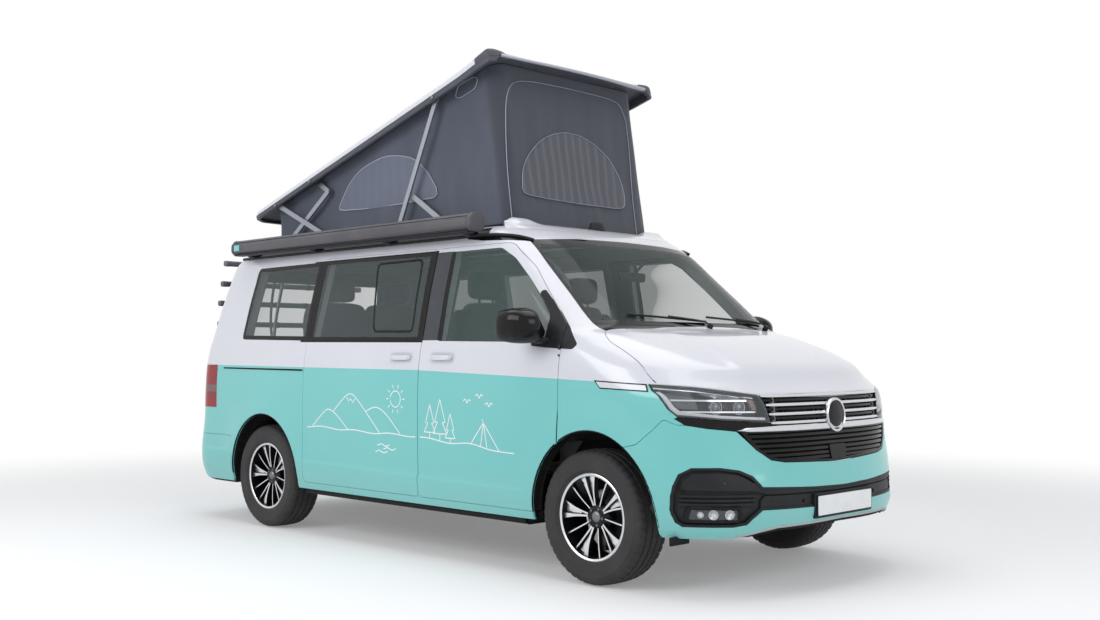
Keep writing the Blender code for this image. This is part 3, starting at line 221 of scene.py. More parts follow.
def cloth(name, colour, paler, threads, strength, roughness=0.9, **constants):
    # woven cloth: two sets of threads seen from the side, the front and above
    paint = Paint(name, colour, roughness, **constants)
    x, y, z = paint.axes()
    turn = 2 * math.pi * threads
    weave = (y * turn).sine() * (z * turn).sine() + (x * turn).sine() * ((y + z) * turn).sine() * 0.5
    fade = paint.ease(paint.grain(2.2, 4.0), 0.30, 0.75)
    paint.feed("Base Color", paint.blend((fade * 0.55 + weave * 0.10).clip(), colour, paler))
    paint.feed("Roughness", roughness - fade * 0.06)
    paint.bump(weave * 0.5 + paint.grain(90.0, 3.0) * 0.6, strength, 0.0008)
    return paint.material


whitePaint = paintWork("white_paint_coat", (217, 217, 224), (206, 207, 216), 0.26)
mintPaint = paintWork("mint_wrap", (116, 197, 194), (103, 190, 188), 0.34)
glossBlack = plainPlastic("gloss_black_trim", (14, 14, 16), (34, 34, 38), 0.10, 300.0, 0.03)
pillarGrey = plainPlastic("pillar_film", (66, 69, 73), (76, 79, 84), 0.16, 200.0, 0.03)
satinBlack = plainPlastic("satin_black_plastic", (30, 31, 34), (52, 53, 57), 0.48)
roughBlack = plainPlastic("rough_black_plastic", (24, 24, 26), (44, 44, 46), 0.75, 500.0, 0.5)
sealBlack = plainPlastic("seal_rubber", (16, 16, 17), (30, 30, 32), 0.62, 700.0, 0.2)
chrome = metal("bright_trim", (214, 216, 220), 0.08)
darkChrome = metal("dark_trim", (92, 94, 100), 0.16)
clearGlass = glass("windscreen_glass", (84, 104, 100), 0.17)
sideGlass = glass("door_glass", (112, 136, 132), 0.21)
privacyGlass = glass("privacy_glass", (112, 124, 124), 0.26)
lensGlass = glass("lamp_lens", (200, 206, 212), 0.07, 0.01)
fritBlack = plainPlastic("glass_border", (12, 13, 15), (20, 21, 24), 0.06, 300.0, 0.02)
linkMetal = metal("anodised_bar", (160, 164, 172), 0.38, (1, 0.1, 0.1), 120.0)
print("materials made")


# The body's outer form: height, half width, front y, front corner depth, rear y, rear corner depth
sections = [
    (0.270, 0.905, -0.840, 0.64, 3.930, 0.25), (0.330, 0.925, -0.885, 0.65, 3.975, 0.25),
    (0.420, 0.940, -0.905, 0.65, 3.995, 0.25), (0.520, 0.946, -0.903, 0.65, 3.990, 0.25),
    (0.600, 0.949, -0.885, 0.65, 3.965, 0.24), (0.720, 0.951, -0.865, 0.65, 3.935, 0.23),
    (0.900, 0.952, -0.845, 0.65, 3.925, 0.23), (0.965, 0.951, -0.830, 0.65, 3.922, 0.23),
    (1.000, 0.950, -0.795, 0.66, 3.921, 0.23), (1.040, 0.948, -0.755, 0.69, 3.920, 0.23),
    (1.100, 0.944, -0.705, 0.75, 3.917, 0.23), (1.160, 0.936, -0.595, 0.75, 3.913, 0.23),
    (1.220, 0.925, -0.440, 0.72, 3.905, 0.23), (1.270, 0.912, -0.260, 0.59, 3.898, 0.23),
    (1.305, 0.905, -0.095, 0.45, 3.890, 0.23), (1.330, 0.900, -0.045, 0.42, 3.884, 0.23),
    (1.500, 0.868, 0.165, 0.38, 3.840, 0.22), (1.650, 0.833, 0.345, 0.34, 3.795, 0.21),
    (1.800, 0.795, 0.525, 0.30, 3.740, 0.20), (1.840, 0.775, 0.580, 0.30, 3.710, 0.20),
    (1.875, 0.755, 0.640, 0.28, 3.665, 0.19), (1.895, 0.735, 0.690, 0.27, 3.625, 0.18),
    (1.905, 0.715, 0.730, 0.26, 3.595, 0.17),
]
frontBend = 2 / 2.7
rearBend = 2 / 3.0
sectionTable = numpy.array(sections)


def smoothSlopes(heights, values):
    # slopes of a curve through the table that never runs past its points
    steps = numpy.diff(values) / numpy.diff(heights)
    slopes = numpy.zeros(len(values))
    for i in range(1, len(values) - 1):
        if steps[i - 1] * steps[i] > 0:
            slopes[i] = 2 * steps[i - 1] * steps[i] / (steps[i - 1] + steps[i])
    slopes[0], slopes[-1] = steps[0], steps[-1]
    return slopes


sectionSlopes = [smoothSlopes(sectionTable[:, 0], sectionTable[:, k]) for k in range(1, 6)]


def rowAt(z):
    heights = sectionTable[:, 0]
    i = int(min(max(numpy.searchsorted(heights, z) - 1, 0), len(heights) - 2))
    step = heights[i + 1] - heights[i]
    t = (z - heights[i]) / step
    ease = (2 * t ** 3 - 3 * t ** 2 + 1, t ** 3 - 2 * t ** 2 + t, 3 * t ** 2 - 2 * t ** 3, t ** 3 - t ** 2)
    found = []
    for k, slopes in enumerate(sectionSlopes):
        start, end = sectionTable[i, k + 1], sectionTable[i + 1, k + 1]
        found.append(ease[0] * start + ease[1] * step * slopes[i]
                     + ease[2] * end + ease[3] * step * slopes[i + 1])
    return found


def step(value, start, end):
    t = min(1.0, max(0.0, (value - start) / (end - start)))
    return t * t * (3 - 2 * t)


frontArch = {"middle": -0.030, "half": 0.4185, "height": 0.440}
rearArch = {"middle": 2.985, "half": 0.400, "height": 0.420}
axleHeight = 0.345


def archLine(arch, grow=0.0, foot=0.05, count=28):
    half, tall = arch["half"] + grow, arch["height"] + grow
    top = [(arch["middle"] - half * math.cos(math.pi * i / count),
            axleHeight + tall * math.sin(math.pi * i / count)) for i in range(count + 1)]
    return [(arch["middle"] - half, foot)] + top + [(arch["middle"] + half, foot)]


def relief(x, y, z):
    # what stands out of the plain form: flared arches, the sill's ledge and the bonnet's raised middle
    rise = 0.0
    for arch in (frontArch, rearArch):
        reach = math.hypot((y - arch["middle"]) / arch["half"], (z - axleHeight) / arch["height"])
        if z > 0.30 and abs(x) > 0.70:
            rise = max(rise, 0.012 * (1 - step(reach, 1.06, 1.42)))
    ledge = 0.505 - 0.048 * (3.3 - y) / 3.0
    if 0.30 < y < 3.9:
        fade = step(y, 0.36, 0.50) * (1 - step(y, 3.70, 3.86))
        rise = max(rise, 0.011 * fade * (1 - step(z, ledge - 0.016, ledge + 0.004)))
    if z > 1.0 and y < 0.1:
        crease = 0.505 + 0.06 * step(1.25 - z, 0.0, 0.2)
        rise += (0.008 * (1 - step(abs(x), crease - 0.012, crease + 0.022))
                 * step(z, 1.0, 1.08) * (1 - step(z, 1.24, 1.29)))
    return rise


def bareForm(turn, z):
    # turn runs from 0 at the front middle to 3 at the rear middle, negative on the right side
    half, front, frontDeep, rear, rearDeep = rowAt(z)
    u = abs(turn)
    if u <= 1:
        a = math.pi / 2 * u
        x = half * math.sin(a) ** frontBend
        y = front + frontDeep * (1 - max(0.0, math.cos(a)) ** frontBend)
    elif u <= 2:
        x = half
        y = front + frontDeep + (u - 1) * (rear - rearDeep - front - frontDeep)
    else:
        a = math.pi / 2 * (3 - u)
        x = half * max(0.0, math.sin(a)) ** rearBend
        y = rear - rearDeep * (1 - max(0.0, math.cos(a)) ** rearBend)
    return Vector((x if turn > 0 else -x, y, z))


def formNormal(turn, z):
    side = 1 if turn > 0 else -1
    u = min(2.9999, max(0.0001, abs(turn)))
    span = min(0.004, u * 0.5, (3 - u) * 0.5)
    along = bareForm(side * (u + span), z) - bareForm(side * (u - span), z)
    lower, upper = max(0.2701, z - 0.004), min(1.9049, z + 0.004)
    up = bareForm(side * u, upper) - bareForm(side * u, lower)
    normal = along.cross(up).normalized() * side
    if abs(turn) < 0.001 or abs(turn) > 2.999:
        normal.x = 0
        normal.normalize()
    return normal


def turnAt(y, z, side):
    # the turn whose place on the form has this y, on the side 1 or -1
    front, frontDeep, rear, rearDeep = rowAt(z)[1:]
    if y < front + frontDeep:
        lean = max(0.0, 1 - max(0.0, y - front) / frontDeep) ** (1 / frontBend)
        return side * max(0.0002, math.acos(min(1.0, lean)) / (math.pi / 2))
    if y > rear - rearDeep:
        lean = max(0.0, 1 - max(0.0, rear - y) / rearDeep) ** (1 / rearBend)
        return side * (3 - math.acos(min(1.0, lean)) / (math.pi / 2))
    return side * (1 + (y - front - frontDeep) / (rear - rearDeep - front - frontDeep))


def turnAcross(x, z, rear=False):
    # the turn whose place on the front or the rear has this x
    half = rowAt(z)[0]
    bend = rearBend if rear else frontBend
    a = math.asin(min(1.0, (abs(x) / half) ** (1 / bend))) / (math.pi / 2)
    a = max(a, 0.0002)
    side = -1 if x < 0 else 1
    return side * (3 - a) if rear else side * a


skinLift = 0.004


def onForm(turn, z, proud=0.0):
    bare = bareForm(turn, z)
    normal = formNormal(turn, z)
    return bare + normal * (relief(*bare) + skinLift + proud)


def onSide(y, z, side, proud=0.0):
    return onForm(turnAt(y, z, side), z, proud)


def onFront(x, z, proud=0.0):
    return onForm(turnAcross(x, z), z, proud)


# The grid that every outer panel is cut from
def gridTurns():
    def even(function, spacing, count=600):
        marks = [i / count for i in range(count + 1)]
        points = [function(t) for t in marks]
        run = [0.0]
        for a, b in zip(points, points[1:]):
            run.append(run[-1] + (b - a).length)
        total = max(2, round(run[-1] / spacing))
        return [float(numpy.interp(run[-1] * i / total, run, marks)) for i in range(total)]
    front = even(lambda t: bareForm(max(t, 0.00001), 0.9), 0.026)
    side = [1 + t for t in even(lambda t: bareForm(1 + t, 0.9), 0.034)]
    rear = [2 + t for t in even(lambda t: bareForm(2 + t, 0.9), 0.036)]
    return front + side + rear + [3.0]


def gridLevels():
    marks = [(0.290, 0.440, 6), (0.440, 0.520, 10), (0.520, 0.800, 9), (0.800, 0.950, 9), (0.950, 1.340, 34),
             (1.340, 1.790, 16), (1.790, 1.905, 10)]
    found = [marks[0][0]]
    for start, end, count in marks:
        found += [start + (end - start) * (i + 1) / count for i in range(count)]
    return found


halfTurns = gridTurns()
turns = [-t for t in reversed(halfTurns[1:])] + [0.00001] + halfTurns[1:]
levels = gridLevels()
bare = numpy.zeros((len(turns), len(levels), 3))
normals = numpy.zeros((len(turns), len(levels), 3))
for i, turn in enumerate(turns):
    for j, z in enumerate(levels):
        spot = bareForm(turn, z)
        normal = formNormal(turn, z)
        bare[i, j] = spot + normal * (relief(*spot) + skinLift)
        normals[i, j] = normal
print("form grid", len(turns), "by", len(levels))

# where the bonnet ends above the lamps and the grille, seen from the front
hoodLine = [(0.0, 0.981), (0.30, 0.984), (0.554, 0.982), (0.680, 1.001), (0.800, 1.020), (0.880, 1.029),
            (0.900, 1.036), (0.960, 1.070)]


def lineAt(line, u):
    return float(numpy.interp(u, [p[0] for p in line], [p[1] for p in line]))


zones = {
    "right": lambda p: p[0] < 0,
    "left": lambda p: p[0] > 0,
    "front": lambda p: p[1] < 1.6,
    "rear": lambda p: p[1] > 2.4,
    "tail": lambda p: p[1] > 3.597,
    "hood": lambda p: p[1] < 0.5 and p[2] > lineAt(hoodLine, abs(p[0])) - 0.0025,
    "all": lambda p: True,
}
viewAxes = {"side": (1, 2), "front": (0, 2), "plan": (0, 1)}


def gridMesh(zone, proud=0.0, bounds=None, view="side", reach=None):
    # the part of the grid that lies in a zone and near an outline's bounds
    places = bare + normals * proud
    mesh = bmesh.new()
    made = {}
    a, b = viewAxes[view]
    middles = (places[:-1, :-1] + places[1:, :-1] + places[:-1, 1:] + places[1:, 1:]) / 4
    for i in range(len(turns) - 1):
        for j in range(len(levels) - 1):
            x, y, z = middles[i, j]
            if not zones[zone](middles[i, j]):
                continue
            if bounds and not (bounds[0] - 0.06 < middles[i, j][a] < bounds[1] + 0.06
                               and bounds[2] - 0.06 < middles[i, j][b] < bounds[3] + 0.06):
                continue
            if reach and not reach[0] < z < reach[1]:
                continue
            ring = []
            for k in ((i, j), (i + 1, j), (i + 1, j + 1), (i, j + 1)):
                key = (0, k[1]) if k[0] == len(turns) - 1 else k
                if key not in made:
                    made[key] = mesh.verts.new(places[key])
                ring.append(made[key])
            face = mesh.faces.new(ring)
            face.smooth = True
    mesh.normal_update()
    return mesh


def inside(outline, u, v):
    within = False
    for (u0, v0), (u1, v1) in zip(outline, outline[1:] + outline[:1]):
        if (v0 > v) != (v1 > v) and u < u0 + (v - v0) * (u1 - u0) / (v1 - v0):
            within = not within
    return within


def carve(mesh, outline, view, zone="all"):
    # cuts a mesh along every side of an outline and returns the faces within it
    a, b = viewAxes[view]
    us, vs = [p[0] for p in outline], [p[1] for p in outline]
    near = set()
    for face in mesh.faces:
        middle = face.calc_center_median()
        if zones[zone](middle):
            if any(min(us) - 0.001 < v.co[a] < max(us) + 0.001 and min(vs) - 0.001 < v.co[b] < max(vs) + 0.001
                   for v in face.verts) or inside(outline, middle[a], middle[b]):
                near.add(face)
    for face in list(near):
        for edge in face.edges:
            near.update(f for f in edge.link_faces if zones[zone](f.calc_center_median()))
    for start, end in zip(outline, outline[1:] + outline[:1]):
        along = Vector(end) - Vector(start)
        if along.length < 0.00002:
            continue
        across = Vector((-along.y, along.x)).normalized()
        chosen = set()
        for face in near:
            spots = [(v.co[a], v.co[b]) for v in face.verts]
            if (max(s[0] for s in spots) < min(start[0], end[0]) - 0.002
                    or min(s[0] for s in spots) > max(start[0], end[0]) + 0.002
                    or max(s[1] for s in spots) < min(start[1], end[1]) - 0.002
                    or min(s[1] for s in spots) > max(start[1], end[1]) + 0.002):
                continue
            gaps = [(s[0] - start[0]) * across.x + (s[1] - start[1]) * across.y for s in spots]
            if min(gaps) < -0.00001 and max(gaps) > 0.00001:
                chosen.add(face)
        if not chosen:
            continue
        parts = set(chosen)
        for face in chosen:
            parts.update(face.edges)
            parts.update(face.verts)
        co, no = Vector((0, 0, 0)), Vector((0, 0, 0))
        co[a], co[b] = start
        no[a], no[b] = across
        cut = bmesh.ops.bisect_plane(mesh, geom=list(parts), dist=0.00002, plane_co=co, plane_no=no)
        near.update(part for part in cut["geom"] if isinstance(part, bmesh.types.BMFace))
    found = []
    for face in near:
        middle = face.calc_center_median()
        if inside(outline, middle[a], middle[b]):
            found.append(face)
    return found


def openUp(mesh, outline, view, zone="all"):
    bmesh.ops.delete(mesh, geom=carve(mesh, outline, view, zone), context="FACES")


def keepOnly(mesh, outline, view, zone="all"):
    wanted = set(carve(mesh, outline, view, zone))
    bmesh.ops.delete(mesh, geom=[f for f in mesh.faces if f not in wanted], context="FACES")


def tint(mesh, outline, view, index, zone="all"):
    for face in carve(mesh, outline, view, zone):
        face.material_index = index


def offset(outline, distance):
    count = len(outline)
    area = sum(outline[i][0] * outline[(i + 1) % count][1] - outline[(i + 1) % count][0] * outline[i][1]
               for i in range(count))
    way = 1 if area > 0 else -1
    moved = []
    for i in range(count):
        before = (Vector(outline[i]) - Vector(outline[i - 1])).normalized()
        after = (Vector(outline[(i + 1) % count]) - Vector(outline[i])).normalized()
        out = Vector((before.y, -before.x)) + Vector((after.y, -after.x))
        out = out.normalized() * way
        stretch = distance / max(0.35, out.dot(Vector((after.y, -after.x)) * way))
        moved.append((outline[i][0] + out.x * stretch, outline[i][1] + out.y * stretch))
    return moved


def rounded(outline, radius, count=5):
    # the outline with its corners turned into short curves
    found = []
    for i, corner in enumerate(outline):
        here = Vector(corner)
        back, ahead = Vector(outline[i - 1]) - here, Vector(outline[(i + 1) % len(outline)]) - here
        size = min(radius, back.length * 0.45, ahead.length * 0.45)
        start, end = here + back.normalized() * size, here + ahead.normalized() * size
        for k in range(count + 1):
            t = k / count
            spot = start * (1 - t) ** 2 + here * 2 * t * (1 - t) + end * t ** 2
            found.append((spot.x, spot.y))
    return found


def flip(outline):
    return [(-u, v) for u, v in reversed(outline)]


def bothHalves(half):
    # a whole outline from the half that starts and ends on the middle line
    return half + [(-u, v) for u, v in reversed(half) if abs(u) > 0.0001]


def edgeBand(mesh, depth, chamfer=0.0015, index=None):
    # turns every open edge inwards, with a small chamfer first
    mesh.normal_update()
    edges = [e for e in mesh.edges if e.is_boundary]
    out, into = {}, {}
    for edge in edges:
        face = edge.link_faces[0]
        way = (edge.verts[1].co - edge.verts[0].co).cross(face.normal)
        if way.length < 1e-9:
            continue
        way.normalize()
        if way.dot((edge.verts[0].co + edge.verts[1].co) / 2 - face.calc_center_median()) < 0:
            way = -way
        for vert in edge.verts:
            out[vert] = out.get(vert, Vector()) + way
            into[vert] = into.get(vert, Vector()) + face.normal
    moves = [(chamfer, -chamfer), (0.0, -depth)] if chamfer else [(0.0, -depth)]
    for sideways, down in moves:
        grown = bmesh.ops.extrude_edge_only(mesh, edges=edges)["geom"]
        fresh = [v for v in grown if isinstance(v, bmesh.types.BMVert)]
        nextOut, nextInto = {}, {}
        for vert in fresh:
            for edge in vert.link_edges:
                old = edge.other_vert(vert)
                if old in out:
                    nextOut[vert], nextInto[vert] = out[old].normalized(), into[old].normalized()
                    vert.co += nextOut[vert] * sideways + nextInto[vert] * down
                    break
        for face in [f for f in grown if isinstance(f, bmesh.types.BMFace)]:
            face.smooth = True
            face.normal_update()
            if index is not None:
                face.material_index = index
            elif face.edges:
                sources = [f for e in face.edges for f in e.link_faces if f is not face
                           and any(v in out for v in f.verts)]
                if sources:
                    face.material_index = sources[0].material_index
            way = sum((nextOut.get(v, Vector()) for v in face.verts), Vector())
            if face.normal.dot(way) < 0:
                face.normal_flip()
        edges = [e for e in grown if isinstance(e, bmesh.types.BMEdge)]
        edges = [e for e in edges if e.is_boundary and all(v in nextOut for v in e.verts)]
        out, into = nextOut, nextInto


def finish(name, mesh, body, paints, replaced=(), sharp=35):
    bmesh.ops.translate(mesh, vec=(0, axleY, 0), verts=mesh.verts)
    data = bpy.data.meshes.new(name)
    mesh.to_mesh(data)
    mesh.free()
    thing = bpy.data.objects.new(name, data)
    bpy.context.scene.collection.objects.link(thing)
    for paint in paints:
        data.materials.append(paint)
    data.shade_smooth()
    data.set_sharp_from_angle(angle=math.radians(sharp))
    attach(thing, body)
    if replaced:
        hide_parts(*replaced)
    return thing


def bounds(outline):
    us, vs = [p[0] for p in outline], [p[1] for p in outline]
    return min(us), max(us), min(vs), max(vs)


def panel(outline, view, zone, proud=0.0, depth=0.010, chamfer=0.0015, holes=(), reach=None):
    mesh = gridMesh(zone, proud, bounds(outline), view, reach)
    keepOnly(mesh, outline, view)
    for hole in holes:
        openUp(mesh, hole, view)
    if depth:
        edgeBand(mesh, depth, chamfer)
    return mesh


def merge(*meshes):
    # several meshes into the first
    first = meshes[0]
    for other in meshes[1:]:
        data = bpy.data.meshes.new("joined")
        other.to_mesh(data)
        other.free()
        first.from_mesh(data)
        bpy.data.meshes.remove(data)
    return first


# Outlines of the openings and panels, in the view that each is drawn in
frontDoor = [(0.200, 0.345), (1.335, 0.345), (1.335, 1.20), (1.325, 1.795), (0.707, 1.795), (0.520, 1.651),
             (0.308, 1.433), (0.200, 1.325)]
slidingDoor = [(1.342, 0.345), (2.515, 0.345), (2.515, 1.10), (2.503, 1.795), (1.339, 1.795), (1.342, 1.20)]
frontWindow = rounded([(0.330, 1.238), (1.205, 1.250), (1.197, 1.770), (0.775, 1.770), (0.655, 1.706),
                       (0.500, 1.572), (0.395, 1.470), (0.315, 1.375)], 0.025)
slidingWindow = rounded([(1.370, 1.250), (2.490, 1.262), (2.470, 1.778), (1.370, 1.778)], 0.020)
quarterWindow = rounded([(2.535, 1.262), (3.330, 1.276), (3.280, 1.772), (2.520, 1.778)], 0.035)
leftGlass = rounded([(1.375, 1.250), (3.330, 1.276), (3.280, 1.772), (1.380, 1.778)], 0.035)
screenHalf = [(0.0, 1.324), (0.30, 1.325), (0.60, 1.328), (0.783, 1.334), (0.712, 1.800), (0.68, 1.816),
              (0.40, 1.832), (0.0, 1.838)]
screenOutline = bothHalves(screenHalf)
tailgateOutline = rounded([(-0.760, 0.660), (0.760, 0.660), (0.765, 1.10), (0.740, 1.40), (0.665, 1.800),
                           (-0.665, 1.800), (-0.740, 1.40), (-0.765, 1.10)], 0.03)
rearWindow = rounded([(-0.690, 1.235), (0.690, 1.235), (0.620, 1.745), (-0.620, 1.745)], 0.06)
bonnetHalf = [(0.0, -0.095), (0.55, -0.060), (0.790, 0.020), (0.850, -0.060), (0.875, -0.270),
              (0.893, -0.360), (0.896, -0.420), (0.896, -1.0), (0.0, -1.0)]
bonnetOutline = bothHalves(rounded(bonnetHalf, 0.05)[6:-6])
hoodFront = bothHalves([(0.0, 0.981)] + hoodLine[1:] + [(1.2, 1.08), (1.2, 1.40), (0.0, 1.40)])
grilleHalf = [(0.0, 0.974), (0.30, 0.977), (0.5475, 0.973), (0.526, 0.927), (0.5045, 0.841), (0.600, 0.844),
              (0.741, 0.852), (0.890, 0.869), (0.896, 0.862), (0.870, 0.832), (0.806, 0.817), (0.690, 0.803),
              (0.600, 0.712), (0.525, 0.662), (0.440, 0.648), (0.0, 0.632)]
grilleOutline = bothHalves(grilleHalf)
lampOutline = [(0.554, 0.975), (0.680, 0.994), (0.800, 1.013), (0.880, 1.0225), (0.914, 1.026),
               (0.921, 0.995),
               (0.917, 0.953), (0.907, 0.905), (0.890, 0.874), (0.741, 0.857), (0.600, 0.849), (0.510, 0.846),
               (0.532, 0.927)]
tailLamp = rounded([(0.772, 0.796), (1.05, 0.796), (1.05, 1.094), (0.772, 1.094)], 0.02)
lampSide = [(3.597, 0.793), (4.40, 0.793), (4.40, 1.097), (3.597, 1.097)]
# the middle of the front bumper ends higher than its sides
bumperFoot = bothHalves([(0.0, 0.200), (0.760, 0.200), (0.700, 0.293), (0.600, 0.322), (0.500, 0.338),
                         (0.0, 0.346)])
frontBumper = [(-1.20, 0.10), (-0.10, 0.10), (-0.20, 0.70), (-0.340, 0.731), (-0.430, 0.808), (-0.479, 0.856),
               (-0.540, 0.830), (-1.20, 0.830)]
rearBumper = [(3.400, 0.10), (4.30, 0.10), (4.30, 0.600), (3.400, 0.600)]
pocketHalf = [(0.0, 0.515), (0.247, 0.522), (0.594, 0.539), (0.635, 0.591), (0.694, 0.620), (0.774, 0.634),
              (0.868, 0.633), (0.902, 0.601), (0.919, 0.545), (0.925, 0.497), (0.925, 0.433), (0.921, 0.409),
              (0.907, 0.369), (0.885, 0.347), (0.721, 0.346), (0.666, 0.356), (0.642, 0.387), (0.599, 0.425),
              (0.0, 0.417)]
pocketOutline = bothHalves(pocketHalf)
seam = 0.005
# the black corner behind the front pillar
mirrorCorner = rounded([(0.400, 1.520), (0.254, 1.388), (0.089, 1.223), (0.113, 1.197), (0.300, 1.206),
                        (0.420, 1.216), (0.420, 1.515)], 0.012)
# the height where white meets mint, along the side
colourLine = [(-2.0, 0.930), (-0.545, 0.930), (-0.540, 0.985), (-0.420, 1.010), (-0.378, 1.0225),
              (-0.068, 1.036),
              (0.20, 1.045), (1.36, 1.079), (2.50, 1.086), (3.56, 1.095), (4.40, 1.100)]
whiteArea = colourLine + [(4.40, 2.2), (-2.0, 2.2)]


def linedPanel(outline, zone, proud=0.0, holes=(), depth=0.010):
    # a side panel painted white above the colour line and mint below it
    mesh = gridMesh(zone, proud, bounds(outline), "side")
    keepOnly(mesh, outline, "side")
    for hole in holes:
        openUp(mesh, hole, "side")
    tint(mesh, whiteArea, "side", 1)
    edgeBand(mesh, depth)
    return mesh


# Body sides, pillars, roof edge and rear corners
bodyCut = {"ground": 0.300, "rim": 0.012}
# room for the front doors' leading edges, which swing in under the widest part of the wing
doorSwing = [(0.1880, 0.700), (0.1880, 0.850), (0.1945, 0.890), (0.2100, 0.890), (0.2100, 0.700)]
body = gridMesh("all")
openUp(body, [(-2, 0.1), (5, 0.1), (5, bodyCut["ground"]), (-2, bodyCut["ground"])], "side")
openUp(body, offset(rounded(frontBumper, 0.01, 2), seam), "side")
openUp(body, offset(rearBumper, seam), "side")
for zone in ("right", "left"):
    openUp(body, offset(rounded(frontDoor, 0.03), seam), "side", zone)
    openUp(body, doorSwing, "side", zone)
    openUp(body, archLine(frontArch, 0.002), "side", zone)
    openUp(body, archLine(rearArch, 0.002), "side", zone)
openUp(body, offset(rounded(slidingDoor, 0.03), seam), "side", "right")
openUp(body, offset(quarterWindow, 0.003), "side", "right")
openUp(body, offset(leftGlass, 0.003), "side", "left")
openUp(body, offset(screenOutline, 0.003), "front", "front")
carve(body, offset(hoodFront, 0.002), "front", "front")
openUp(body, offset(bonnetOutline, seam), "plan", "hood")
openUp(body, offset(grilleOutline, 0.003), "front", "front")
openUp(body, offset(lampOutline, 0.003), "front", "front")
openUp(body, offset(flip(lampOutline), 0.003), "front", "front")
openUp(body, offset(tailgateOutline, seam), "front", "rear")
carve(body, lampSide, "side")
openUp(body, offset(tailLamp, 0.003), "front", "tail")
openUp(body, offset(flip(tailLamp), 0.003), "front", "tail")
tint(body, whiteArea, "side", 1)
# black zones: the middle pillar, the frame about the side windows and the scuttle under the screen
tint(body, [(1.15, 1.235), (1.40, 1.235), (1.40, 1.785), (1.15, 1.785)], "side", 2)
tint(body, [(1.336, 1.240), (2.60, 1.250), (2.60, 1.785), (1.336, 1.785)], "side", 2, "right")
tint(body, [(1.336, 1.240), (1.40, 1.240), (1.40, 1.785), (1.336, 1.785)], "side", 2, "left")
tint(body, [(0.930, 1.858), (3.490, 1.858), (3.490, 1.900), (0.930, 1.900)], "side", 2, "right")
tint(body, [(-0.785, 1.278), (0.785, 1.278), (0.785, 1.340), (-0.785, 1.340)], "front", 2, "front")
gutterEnd = [(0.600, 1.797), (0.660, 1.806), (0.750, 1.813), (0.950, 1.822), (1.100, 1.840), (1.100, 1.862),
             (0.950, 1.860), (0.860, 1.857), (0.770, 1.846), (0.690, 1.829), (0.630, 1.810)]
for zone in ("right", "left"):
    tint(body, mirrorCorner, "side", 3, zone)
    tint(body, gutterEnd, "side", 2, zone)
edgeBand(body, bodyCut["rim"])
# the front doors' leading edges swing in here, so the rim is left off beside them
swing = []
for face in body.faces:
    spot = face.calc_center_median()
    if 0.1860 < spot.y < 0.1975 and 0.34 < spot.z < 1.34 and abs(face.normal.y) > 0.6:
        swing.append(face)
bmesh.ops.delete(body, geom=swing, context="FACES")
print("rim faces left off", len(swing))
finish("body_skin", body, "root", [mintPaint, whitePaint, glossBlack, satinBlack])
print("body made")

# Doors, bonnet, tailgate and bumpers
for side, zone in (("right", "right"), ("left", "left")):
    door = linedPanel(rounded(frontDoor, 0.03), zone, 0.0,
                      [offset(frontWindow, 0.003), archLine(frontArch, 0.002)])
    tint(door, [(1.190, 1.252), (1.350, 1.252), (1.350, 1.773), (1.180, 1.773)], "side", 2, zone)
    tint(door, mirrorCorner, "side", 3, zone)
    finish("front_door_skin_" + side, door, "front_door_" + side,
           [mintPaint, whitePaint, pillarGrey, satinBlack])
    glassMesh = panel(frontWindow, "side", zone, -0.002, 0.004, 0.001)
    tint(glassMesh, [(1.165, 1.2), (1.25, 1.2), (1.25, 1.8), (1.165, 1.8)], "side", 1)
    finish("front_window_" + side, glassMesh, "front_door_" + side, [sideGlass, glossBlack],
           ["front_glass_" + side])

slider = linedPanel(rounded(slidingDoor, 0.03), "right", 0.0, [offset(slidingWindow, 0.003)])
tint(slider, [(1.30, 1.240), (2.60, 1.250), (2.60, 1.785), (1.30, 1.785)], "side", 2)
finish("sliding_door_skin", slider, "root", [mintPaint, whitePaint, glossBlack])


def borderedGlass(name, outline, border, view, zone, body, paint, replaced, inner=None, reach=None):
    # flush glass whose edge is printed black
    mesh = panel(outline, view, zone, -0.001, 0.005, 0.0012, reach=reach)
    for face in mesh.faces:
        face.material_index = 1
    for hole in inner or [offset(outline, -border)]:
        tint(mesh, hole, view, 0)
    return finish(name, mesh, body, [paint, fritBlack], replaced)


borderedGlass("sliding_window", slidingWindow, 0.022, "side", "right", "root", privacyGlass,
              ["sliding_door_glass"])
borderedGlass("quarter_window_right", quarterWindow, 0.026, "side", "right", "root",
              privacyGlass, ["quarter_glass_right"])
borderedGlass("side_windows_left", leftGlass, 0.026, "side", "left", "root", privacyGlass,
              ["side_glass_left"], [rounded([(1.400, 1.276), (2.470, 1.290), (2.450, 1.752),
                                             (1.405, 1.752)], 0.04),
                                    rounded([(2.560, 1.291), (3.300, 1.301), (3.250, 1.746),
                                             (2.545, 1.752)], 0.04)])
borderedGlass("windscreen_pane", screenOutline, 0.0, "front", "front", "root", clearGlass,
              ["windscreen"], [bothHalves(rounded([(0.0, 1.347), (0.30, 1.348), (0.60, 1.350), (0.762, 1.354),
                                                   (0.699, 1.786), (0.40, 1.800), (0.0, 1.806)],
                                                  0.04)[6:-6])],
              (1.28, 1.86))
borderedGlass("tailgate_window", rearWindow, 0.035, "front", "rear", "tailgate", privacyGlass,
              ["tailgate_glass"])

bonnetSkin = gridMesh("front", 0.0, (-0.95, 0.95, -1.0, 0.1), "plan", (0.93, 1.345))
keepOnly(bonnetSkin, hoodFront, "front")
keepOnly(bonnetSkin, bonnetOutline, "plan")
edgeBand(bonnetSkin, 0.014)
finish("bonnet_skin", bonnetSkin, "bonnet", [whitePaint])

